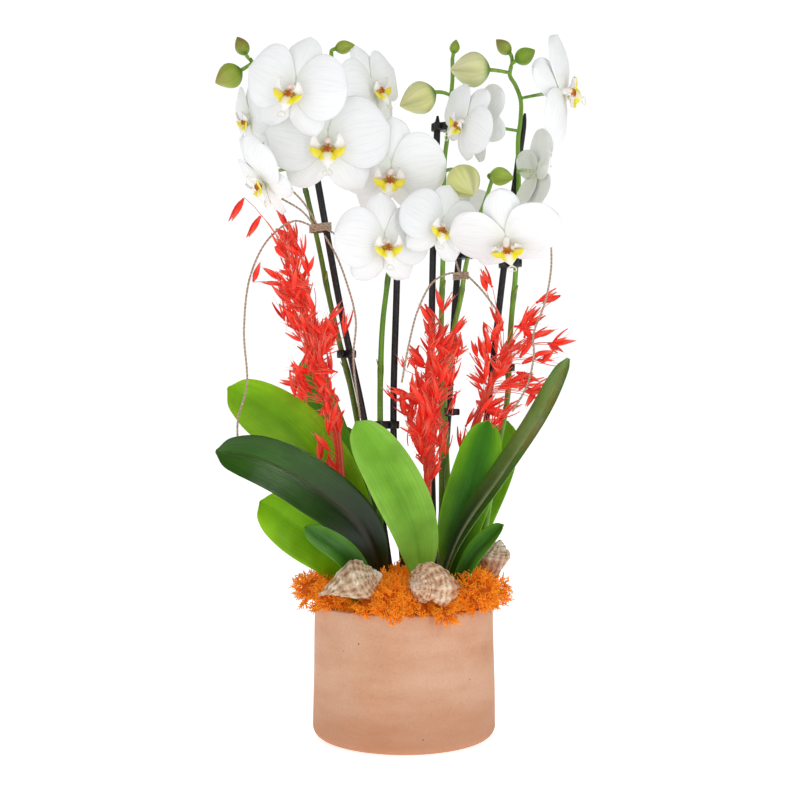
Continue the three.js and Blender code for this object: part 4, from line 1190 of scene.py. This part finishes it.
# %% Leaves
LEAF_THICK, NECK = 2.4, 13.0  # mm
LEAF_OUTLINE = [(0, 0), (0.16, 0.3), (0.36, 0.8), (0.6, 1), (0.82, 0.9), (0.94, 0.62), (1, 0.04)]
LEAVES = {  # midrib; the way the upper face looks; width; middle, edge, rib and tip colours; skin
    "left_broad": (
        [(-36, 12, ROOTED), (-50, 10, 75), (-92, 6, 142), (-130, 2, 172), (-155, 0, 188)],
        (0.1, -1, 0.15), 56, ("#76B404", "#9CD40E", "#68A004", "#84C408"), "satin",
    ),
    "left_dark": (
        [(-12, -10, ROOTED), (-34, -22, 62), (-80, -38, 104), (-119, -48, 125), (-158, -54, 134)],
        (-0.05, -1, 0.3), 46, ("#0E2004", "#2A5208", "#3A2A12", "#356410"), "gloss",
    ),
    "left_narrow": (
        [(-18, -27, ROOTED), (-46, -38, 41), (-84, -48, 70)],
        (0, -0.85, 0.5), 22, ("#23540A", "#5E9C1C", "#1E4A08", "#3C7A12"), "gloss",
    ),
    "left_low": (
        [(-34, -8, ROOTED), (-60, -16, 42), (-94, -22, 68), (-124, -26, 90)],
        (0, -1, 0.3), 48, ("#7CBC06", "#A2DA12", "#6CA806", "#8CCC0A"), "satin",
    ),
    "rear_tall": (
        [(-32, 46, ROOTED), (-52, 48, 95), (-76, 48, 168), (-91, 46, 217)],
        (0, -1, 0), 36, ("#4E9218", "#82BE36", "#447E12", "#62A628"), "satin",
    ),
    "rear_centre": (
        [(-14, 54, ROOTED), (-37, 56, 67), (-48, 58, 117), (-58, 58, 154)],
        (0, -1, 0), 34, ("#468A12", "#7AB62A", "#3C780E", "#5A9E1E"), "satin",
    ),
    "front": (
        [(16, -18, ROOTED), (10, -28, 61), (-12, -40, 113), (-41, -48, 159)],
        (0.15, -1, 0.25), 46, ("#83BC3C", "#97CC52", "#6FA82E", "#7EBC32"), "satin",
    ),
    "right_round": (
        [(38, 6, ROOTED), (48, 4, 62), (62, 2, 111), (74, 0, 159)],
        (0, -1, 0), 42, ("#2A6002", "#86C40A", "#205002", "#3C8204"), "satin",
    ),
    "right_rear": (
        [(44, 42, ROOTED), (68, 46, 76), (86, 48, 122), (95, 46, 158)],
        (0, -1, 0), 36, ("#64A810", "#8CC820", "#4E900C", "#74B814"), "satin",
    ),
    # right_long's pale tip colour is partly the leaf's lighter green and partly a painted sheen.
    "right_long": (
        [(26, -8, ROOTED), (47, -17, 56), (87, -24, 117), (117, -24, 164), (142, -20, 213)],
        (-0.85, -0.45, 0.3), 34, ("#16360A", "#3E7418", "#C4D8A4", "#86AE62"), "gloss",
    ),
    "right_low": (
        [(38, -30, ROOTED), (57, -42, 42), (84, -48, 72)],
        (-0.3, -0.5, 0.8), 24, ("#1E4C08", "#62A020", "#1C4406", "#3A7A12"), "gloss",
    ),
}  # fmt: skip


def smooth(points, at):
    """A smooth curve through (share, value) points, read at the given shares."""
    line = rail([(x * 100, y * 100, 0) for x, y in points], 400) / 100
    return np.interp(at, line[:, 0], line[:, 1])


def leaf(rib, faces, width, colours, number):
    """The halves rise as 0.2 * half width * |u|^1.4 and the midrib is a groove 1.3 mm deep. The
    margins roll slowly, sin(7v) * u^2, and the lower half is never narrower than the neck."""
    s = np.linspace(0, 1, 56)
    v = 1 - (1 - s) ** 1.45
    full = rail(above(rib), 500)
    line = np.stack([np.interp(v, np.linspace(0, 1, 500), full[:, i]) for i in range(3)], axis=-1)
    half = smooth(LEAF_OUTLINE, v) * width / 2
    half = np.where(v < 0.5, np.maximum(half, NECK / 2), half) + 0.15
    wide = half[:, None]
    middle, edge, vein, tip = colours

    def lift(u, v):
        """The halves' rise and slow roll, less the groove."""
        roll = 1.5 * np.sin(7 * v + 2 * number + np.sign(u)) * u**2 * step(0.25, 0.6, v)
        groove = 1.3 * np.exp(-((u * wide / 1.8) ** 2)) * (1 - step(0.75, 0.98, v))
        return 0.2 * wide * np.abs(u) ** 1.4 + roll - groove

    def colour(u, v, layer):
        """Middle to tip along the leaf, edge across it, paler below and dull at the neck."""
        under = 0.55 * (layer < 0) * np.ones_like(u)
        return tinted(
            middle, (tip, step(0.3, 0.9, v)),
            (edge, step(0.25, 1.0, np.abs(u)) * (0.25 + 0.5 * v)),
            (vein, 0.8 * np.exp(-((u * wide / 1.1) ** 2)) * (1 - 0.8 * v)),
            (edge, step(0.93, 0.99, np.abs(u))), ("#8DB457", under),
            ("#3A5A16", 0.5 * (1 - step(0.0, 0.16, v))),
        )

    thick = LEAF_THICK * (0.9 - 0.45 * v)
    facing = np.broadcast_to(np.array(faces, float), line.shape)
    return blade_skin(line, facing, half, half, lift, thick, 22, colour, 0, v)


for number, (name, (rib, faces, width, colours, cuticle)) in enumerate(LEAVES.items()):
    slot_name = "leaf_dark" if cuticle == "gloss" else "leaf_green"
    skins = [leaf(rib, faces, width, colours, number)]
    piece(f"strap_{name}", skins, [cuticles[cuticle]], slot_name, f"leaf_{name}")

# %% [markdown]
# ## Dyed oats
# A bunch of dried wild oats, dyed red. Many thin straws leave one bound stalk, and on each hangs a
# spikelet: two long boat-shaped husks that gape, a slim grain between them and two hair-fine awns.
# A few spikelets are worked out once, with few faces, and are set down again and again, turned at
# random.

# %% Oat finish
# Dried oat husk in fluorescent dye: papery, ribbed lengthways. The eye gets a hot coral red. Its
# glow is painted light: an emission of its own colour stands in for the light that passes through
# the thin husk.
husk, tree = fresh("dyed_oat_husk")
chart = node(tree, "UVMap", {"uv_map": "UVMap"})
drawn = node(tree, "Mapping", {"Scale": (16, 1.5, 1)}, {"Vector": chart})
ribs = node(tree, "TexNoise", {"Scale": 1, "Detail": 2}, {"Vector": drawn})
worn = node(tree, "ValToRGB", links={0: ribs}, stops=[(0.3, "#DCC0B8"), (0.55, "#FFFFFF")])
body = node(tree, "Mix", TIMES, {6: node(tree, "Attribute", TINT), 7: worn})
bump = node(tree, "Bump", {"Distance": 0.3 * MM}, {"Height": ribs})
# Painted glow: the husk gives out its own colour as emission, though it is no lamp.
PAPER_WITH_PAINTED_GLOW = {"Roughness": 0.55, "IOR": 1.4, "Emission Strength": 0.22, "Sheen Weight": 0.1}
feeds = {"Base Color": body, "Normal": bump, "Emission Color": body}
node(tree, "OutputMaterial", links={"Surface": node(tree, "BsdfPrincipled", PAPER_WITH_PAINTED_GLOW, feeds)})


# %% Spikelet
def glume(side, gape, length, width):
    """One husk: half width = width * sin(pi v^0.7), keeled as |u|, leaning out by gape degrees."""
    v = np.linspace(0.03, 0.97, 6)
    lean = math.radians(gape)
    out = np.array([side * math.sin(lean), 0, math.cos(lean)])
    line = v[:, None] * out * length + np.array([side, 0, 0]) * (1.5 * np.sin(np.pi * v))[:, None]
    half = width * np.sin(np.pi * v**0.7) + 0.12
    face = np.broadcast_to(np.array([float(side), 0, 0]), line.shape)

    def colour(u, v, layer):
        """Red, more coral towards the tip and deeper inside."""
        inside = 0.5 * (layer < 0) * np.ones_like(u)
        return tinted("#FA2C18", ("#FF6044", step(0.3, 1, v)), ("#D81C10", inside))

    return blade_skin(line, face, half, half, lambda u, v: -1.3 * np.abs(u), 0.35, 3, colour)


def awn(side, length):
    """A hair-fine bristle that bends outwards."""
    line = bent((side * 0.6, 0, 14), (side * 3, 0, 22), (side * length * 0.35, 0, 16 + length), 4)
    pink = tinted("#EE5A42", ("#F6A894", np.ones((4, 3))))
    return round_skin(line, np.linspace(0.28, 0.08, 4), 3, pink)


def kernel(length):
    """The slim floret between the husks."""
    v = np.linspace(0, 1, 5)
    line = np.array([0, 0, 1.0]) * (v * length)[:, None]
    bright = tinted("#EE2A1A", ("#FF5A40", np.ones((5, 4))))
    return round_skin(line, 1.3 * np.sin(np.pi * v**0.7) ** 0.8 + 0.12, 4, bright)


def one_skin(skins):
    """Several skins as one, so that a group can be copied at once."""
    starts = np.cumsum([0] + [len(s["points"]) for s in skins[:-1]])
    joined = {k: np.vstack([s[k] for s in skins]) for k in ("points", "tint", "uv")}
    for k in ("quads", "fans"):
        joined[k] = np.vstack([s[k] + n for s, n in zip(skins, starts)])
    return {**joined, "part": skins[0]["part"]}


SPIKELETS = [
    one_skin([
        glume(-1, gape, length, 2.6), glume(1, gape * 0.8, length * 0.95, 2.5),
        kernel(length * 0.8), awn(-1, 12), awn(1, 10),
    ])
    for gape, length in ((7, 25), (13, 27), (20, 24), (10, 23))
]  # fmt: skip
OATS = {  # stalk; tips of the plan's husks; how many of the first ones hang; how many more
    "left": (
        [
            (-48, 8, ROOTED), (-53, 1, 63), (-55, -3, 107), (-60, -6, 151), (-72, -8, 190),
            (-84, -12, 238), (-92, -14, 285),
        ],
        [
            (-150, -16, 333), (-136, -14, 318), (-112, -20, 322), (-112, 4, 346), (-90, -22, 322),
            (-123, -22, 292), (-98, -28, 288), (-106, -10, 262), (-80, -20, 280), (-92, -26, 250),
            (-73, -8, 250), (-76, -24, 222), (-66, -20, 190), (-102, -14, 204), (-78, -22, 148),
            (-52, -12, 262),
        ],
        2, 150,
    ),
    "centre": (
        [(22, 10, ROOTED), (21, 8, 71), (21, 6, 133), (22, 4, 186), (25, 4, 230)],
        [
            (28, -2, 276), (14, 8, 262), (40, 4, 246), (4, 2, 224), (24, -10, 222), (46, -4, 216),
            (9, -12, 196), (-14, -6, 188), (-4, 10, 182), (26, -14, 180), (46, 4, 188),
            (5, 6, 158), (38, -8, 154), (54, 4, 248),
        ],
        0, 120,
    ),
    "right": (
        [(47, 17, ROOTED), (50, 16, 70), (58, 15, 133), (72, 12, 177), (88, 10, 215)],
        [
            (68, 4, 296), (72, 2, 238), (60, 8, 220), (80, -6, 212), (94, 8, 232), (118, 6, 259),
            (135, 2, 274), (128, -4, 238), (150, 2, 229), (138, 6, 212), (113, 0, 200),
            (90, 0, 180), (126, -6, 186), (106, 8, 176), (66, 16, 190),
        ],
        0, 60,
    ),
}  # fmt: skip


def straw(start, end):
    """A thin straw that arches a little between the stalk and its spikelet."""
    middle = (start + end) / 2 + np.array([0, 0, 0.18]) * np.linalg.norm(end - start)
    red = tinted("#D8402C", ("#EE6A50", np.ones((6, 3))))
    return round_skin(bent(start, middle, end, 6), np.linspace(0.5, 0.3, 6), 3, red)


def spikelet(tip, lean, size):
    """A spikelet whose tip is there, turned so that its length runs along lean."""
    own = SPIKELETS[chance.integers(len(SPIKELETS))]
    matrix = along_axis(lean) @ spun(chance.uniform(0, 360))
    base = tip - unit(lean) * SPIKELET_LONG * size
    placed = moved(own, matrix, base, size)
    return {**placed, "tint": np.clip(placed["tint"] * chance.uniform(0.8, 1.1), 0, 1)}, base


# %% Bunches of oats
STALK_STRAWS, STALK_RINGS = 13, 120
SPIKELET_LONG = 24  # mm from a spikelet's base to its tip
RISE = 52  # mm below the tip of a branch, where it leaves the stalk
STRAW_REDS = ["#7E2418", "#C23A26", "#A83020", "#D8805E", "#D04430", "#C8907A"]
for name, (stalk, tips, hanging, more) in OATS.items():
    line = rail(above(stalk), STALK_RINGS)
    share = np.linspace(0, 1, STALK_RINGS)
    skins = []
    for k in range(STALK_STRAWS):  # the bound straws that make up the stalk
        side = np.array([math.cos(2.4 * k), math.sin(2.4 * k), 0]) * (1.0 + 0.32 * k)
        wander = np.sin(share * 7 + 2 * k)[:, None] * np.array([1.1, 0.9, 0])
        foot = (1 - 0.55 * share[:, None]) * side + wander
        ripe = np.broadcast_to(share[:, None], (STALK_RINGS, 4))
        red = tinted(STRAW_REDS[k % len(STRAW_REDS)], ("#E04A34", ripe))
        skins.append(round_skin(line + foot, 0.95 - 0.3 * share, 4, red))
    tips = above(tips)
    for k, tip in enumerate(tips):
        start = nearest(line, tip - np.array([0, 0, SPIKELET_LONG]))
        lean = unit(unit(tip - start) + chance.normal(size=3) * 0.18)
        if k < hanging:
            lean = unit(unit(tip - start) * np.array([0.6, 0.6, 0]) + np.array([0, 0, -0.8]))
        made, base = spikelet(tip, lean, 0.95)
        skins += [made, straw(start, base)]
    for _ in range(more):
        tip = tips[chance.integers(hanging, len(tips))]
        start = nearest(line, tip - np.array([0, 0, RISE]))
        way = unit(tip - start)
        centre = start + (tip - start) * chance.uniform(0.1, 0.92) + chance.normal(size=3) * 4.5
        lean = unit(way * chance.choice([1.0, 1.0, 1.0, -0.6]) + chance.normal(size=3) * 0.38)
        made, base = spikelet(centre + lean * 11, lean, chance.uniform(0.75, 1.05))
        skins += [made, straw(nearest(line, base - np.array([0, 0, 14])), base)]
    piece(f"oat_bunch_{name}", skins, [husk], "oats", f"oats_{name}")

# %% [markdown]
# ## Sea shells
# Three whelks lie on the rim. A shell grows as a tube that winds round an axis and gets larger by
# the same share in each turn, so it is one formula: the distance from the axis, the height along it
# and the size of the tube are all the same exponential. The lower side of the last turn is drawn
# out to a canal, the shoulder carries knobs, and fine cords run round.

# %% Shell finish
# Weathered whelk shell: chalky lime with a worn skin. The eye gets a dry cream to tan with brown
# bands and dots, and only a little shine on the smooth parts. IOR of the mineral is about 1.6.
lime, tree = fresh("weathered_whelk_shell")
spot = node(tree, "TexCoord").outputs["Object"]
crust = node(tree, "TexNoise", {"Scale": 420, "Detail": 4, "Roughness": 0.6}, {"Vector": spot})
stains = node(tree, "TexNoise", {"Scale": 90, "Detail": 3}, {"Vector": spot})
dirt = node(tree, "ValToRGB", links={0: crust}, stops=[(0.3, "#B89A80"), (0.52, "#FFFFFF")])
cloud = node(tree, "ValToRGB", links={0: stains}, stops=[(0.36, "#D0B296"), (0.56, "#FFFFFF")])
body = node(tree, "Mix", TIMES, {6: node(tree, "Attribute", TINT), 7: dirt})
body = node(tree, "Mix", {**TIMES, 0: 0.7}, {6: body, 7: cloud})
bump = node(tree, "Bump", {"Distance": 0.35 * MM, "Strength": 0.6}, {"Height": crust})
CHALK = {"Roughness": 0.5, "IOR": 1.6, "Specular IOR Level": 0.4}
shader = node(tree, "BsdfPrincipled", CHALK, {"Base Color": body, "Normal": bump})
node(tree, "OutputMaterial", links={"Surface": shader})

# %% Shells
SHELLS = {  # middle; apex to canal; length; radius; spin; base, band and dark colours; knob height
    "left": (
        (-44, -60, 22), (-0.93, 0.15, -0.38), 58, 21, 60,
        ("#DCC6A4", "#B27A38", "#6A3C1A"), 0.06,
    ),
    "front": (
        (27, -62, 23), (0.72, 0.68, -0.1), 58, 23, 150,
        ("#E6BE96", "#C4824E", "#74401E"), 0.14,
    ),
    "right": (
        (77, -18, 31), (-0.25, 0.1, -1), 54, 18, 120,
        ("#DCC2A8", "#B58666", "#785038"), 0.14,
    ),
}  # fmt: skip
GROWTH, TURNS = 1.75, 5.2  # a whelk's tube is this many times larger after each turn
RINGS, ROUND = 360, 72  # rings along the tube, and points round it
RIBS, CORDS = 13, 15  # across the tube in each turn, and along it


def whelk(length, radius, colours, knob):
    """Along the turn angle w the size is g = GROWTH^(w / 2pi - TURNS). The tube's middle lies
    0.44 R g from the axis and 0.4 L g from the apex, and its own radius is 0.54 R g. Ribs across
    and cords along swell the tube where their cosines peak, and knobs stand where a rib crosses
    the shoulder. The last rings fold inwards as the mouth."""
    w = np.linspace(0, 2 * np.pi * TURNS, RINGS)
    size = GROWTH ** (w / (2 * np.pi) - TURNS)
    w = np.concatenate([w, w[-1] + np.array([0.02, 0.0, -0.12, -0.4])])[:, None]
    size = np.concatenate([size, size[-1] * np.ones(4)])[:, None]
    fold = np.concatenate([np.ones(RINGS), [0.97, 0.86, 0.74, 0.6]])[:, None]
    a = np.linspace(0, 2 * np.pi, ROUND, endpoint=False)[None, :]
    low = np.clip(-np.sin(a), 0, 1)
    shoulder = np.exp(-(((a - 0.7) / 0.32) ** 2))
    rib, cord = 0.5 + 0.5 * np.cos(RIBS * w), 0.5 + 0.5 * np.cos(CORDS * a)
    swell = knob * shoulder * rib**1.5 + 0.05 * rib + 0.04 * cord + 0.05 * rib * cord
    tube = 0.54 * radius * size * (1 + swell) * fold
    down = (0.6 * length) / (0.56 * radius)
    drawn = 1 - 0.72 * low**1.3
    out = 0.44 * radius * size * drawn + tube * np.cos(a) * drawn
    height = 0.4 * length * size - tube * np.where(np.sin(a) > 0, 0.9, down) * np.sin(a)
    ring = np.stack([out * np.cos(w), out * np.sin(w), height], axis=-1)
    base, band, dark = colours
    flames = step(0.1, 0.8, np.sin(5 * w + 2.5 * np.cos(2 * a))) * (0.45 + 0.55 * low)
    dots = (1 - rib) ** 3 * (1 - cord) ** 2 * step(0.3, 0.6, size)
    seam = np.exp(-(((np.cos(a) + 1) / 0.25) ** 2)) + np.exp(-(((a - np.pi / 2) / 0.22) ** 2))
    young = 0.85 * (1 - step(0.15, 0.42, size)) + 0 * a
    tints = tinted(
        base, (band, 0.8 * flames), ("#F6ECDD", 0.7 * rib * cord), (dark, 0.9 * dots),
        ("#F2EBE0", young), (dark, 0.5 * seam * step(0.06, 0.2, size)),
        # The folded mouth rings are painted dark brown: painted shade inside the opening.
        ("#5A3626", 0.85 * np.broadcast_to(fold < 0.9, out.shape)),
    )
    return skin(ring, tints)


shell_places = []
for name, (middle, way, length, radius, spin, colours, knob) in SHELLS.items():
    matrix = along_axis(unit(way)) @ spun(spin)
    apex = above(middle) - unit(way) * length / 2
    shell_places.append((apex, unit(way), length, radius))
    made = moved(whelk(length, radius, colours, knob), matrix, apex)
    piece(f"whelk_{name}", [made], [lime], "shell", f"shell_{name}")

# %% [markdown]
# ## Reindeer moss
# The cushion at the foot is dyed reindeer moss, a lichen: brittle hollow threads, about a
# millimetre thick, that fork and curl until they make a springy sponge. A few forked sprigs are
# worked out once and are set all over rounded cores, pointing outwards, and skip what stands there.

# %% Moss finish
# Reindeer lichen, dyed and softened with glycerine: the eye gets a vivid matt orange. The glow is
# painted light, an emission of its own colour; the thin tips are painted lighter as if lit, and the
# cores a darker rust as painted shade in the gaps.
lichen, tree = fresh("dyed_reindeer_moss")
spot = node(tree, "TexCoord").outputs["Object"]
powder = node(tree, "TexNoise", {"Scale": 800, "Detail": 2}, {"Vector": spot})
dust = node(tree, "ValToRGB", links={0: powder}, stops=[(0.3, "#F2C890"), (0.6, "#FFFFFF")])
body = node(tree, "Mix", TIMES, {6: node(tree, "Attribute", TINT), 7: dust})
bump = node(tree, "Bump", {"Distance": 0.3 * MM}, {"Height": powder})
# Painted glow: the moss gives out its own colour as emission, though it is no lamp.
SPONGE_WITH_PAINTED_GLOW = {"Roughness": 0.8, "Specular IOR Level": 0.2, "Emission Strength": 0.2}
feeds = {"Base Color": body, "Normal": bump, "Emission Color": body}
node(tree, "OutputMaterial", links={"Surface": node(tree, "BsdfPrincipled", SPONGE_WITH_PAINTED_GLOW, feeds)})


# %% Sprigs
def sprig():
    """A stem 8 mm long with seven curling side threads that leave it at four heights."""
    lean = chance.normal(size=2) * 2
    stem = bent((0, 0, -2), (lean[0], lean[1], 2.5), (*(lean * 0.3), 6.0), 5)
    # Painted light: stem and threads are painted lighter towards their tips, as if the tips were
    # lit.
    lit_towards_tip = tinted("#EC6E04", ("#FFA21A", np.linspace(0, 1, 5)[:, None] * np.ones((1, 4))))
    parts = [round_skin(stem, np.array([0.6, 0.66, 0.6, 0.5, 0.3]), 4, lit_towards_tip)]
    glow = tinted("#FA8606", ("#FFB63A", np.linspace(0, 1, 4)[:, None] * np.ones((1, 3))))
    for k in range(7):
        start = stem[1 + k % 4]
        angle = k * 2.4 + chance.uniform(-0.4, 0.4)
        out = np.array([math.cos(angle), math.sin(angle), 0.35])
        hook = np.array([-math.sin(angle), math.cos(angle), 0.9]) * chance.uniform(0.8, 2.4)
        reach = chance.uniform(1.8, 3.2)
        line = bent(start, start + out * reach, start + out * reach * 0.7 + hook * 1.3, 4)
        parts.append(round_skin(line, np.array([0.5, 0.55, 0.5, 0.28]), 3, glow))
    return one_skin(parts)


SPRIGS = [sprig() for _ in range(12)]
print("a sprig has", sum(len(SPRIGS[0][kind]) for kind in ("quads", "fans")), "faces")

# %% Moss tufts
CORE_SHARE, CROWDING = 0.56, 0.6  # the core's radius over the tuft's, and sprigs for radius squared
TUFTS = {  # x, y, height above the rim, radius
    "front": [
        (-8, -66, 8, 20), (-28, -58, 2, 17), (10, -64, 2, 18), (-12, -44, 12, 19),
        (34, -58, 0, 18), (-12, -76, 2, 11), (34, -74, 1, 10),
    ],
    "right": [(62, -48, 13, 20), (72, -24, 12, 18), (48, -34, 8, 19), (64, 2, 8, 18)],
    "left": [(-80, -18, 13, 15), (-62, -34, 6, 18), (-58, -4, 9, 19), (-56, 20, 8, 18)],
    "rear": [
        (-29, 49, 8, 17), (4, 56, 8, 18), (36, 50, 8, 17), (-6, 33, 12, 16), (-4, 8, 16, 15),
    ],
}  # fmt: skip


def core(middle, radius):
    """A lumpy ball: radius * (1 + 0.1 sin(5a + 3b) sin(4b)), lifted to the rim at its overhang."""
    b = np.linspace(0.05, np.pi - 0.05, 14)[:, None]
    a = np.linspace(0, 2 * np.pi, 20, endpoint=False)[None, :]
    r = radius * (1 + 0.1 * np.sin(5 * a + 3 * b) * np.sin(4 * b))
    ring = np.stack([r * np.sin(b) * np.cos(a), r * np.sin(b) * np.sin(a), -r * np.cos(b)], axis=-1)
    ring = ring + middle
    over = np.hypot(ring[..., 0], ring[..., 1]) > inner - 1
    ring[..., 2] = np.where(over, np.maximum(ring[..., 2], RIM + 0.6), ring[..., 2])
    # The cores are painted a darker rust: painted shade in the gaps between the sprigs.
    return skin(ring, tinted("#A8500C", ("#BE5E10", np.ones((14, 20)))))


def taken(point):
    """Whether a shell or the pot's wall is already there."""
    for apex, way, length, radius in shell_places:
        along = (point - apex) @ way / length
        wide = radius * np.interp(along, [0, 0.35, 1], [0.3, 1.0, 0.25])
        if -0.02 < along < 1.0 and np.linalg.norm(point - apex - way * along * length) < wide:
            return True
    out = math.hypot(point[0], point[1])
    return point[2] < RIM - 11 or (inner - 1 < out < POT_RADIUS + 1 and point[2] < RIM + 0.5)


for name, tufts in TUFTS.items():
    skins = []
    for x, y, height, radius in tufts:
        middle = np.array([x, y, RIM + height])
        skins.append(core(middle, radius * CORE_SHARE))
        for _ in range(int(radius**2 * CROWDING)):
            out = unit(chance.normal(size=3))
            at = middle + out * radius * chance.uniform(0.5, 0.9)
            if taken(at) or out[2] < -0.75:
                continue
            lean = unit(out + chance.normal(size=3) * 0.35)
            matrix = along_axis(lean) @ spun(chance.uniform(0, 360))
            own = SPRIGS[chance.integers(len(SPRIGS))]
            made = moved(own, matrix, at, chance.uniform(0.7, 1.05))
            skins.append({**made, "tint": made["tint"] * chance.uniform(0.75, 1.05)})
    piece(f"moss_tuft_{name}", skins, [lichen], "moss", f"moss_{name}")
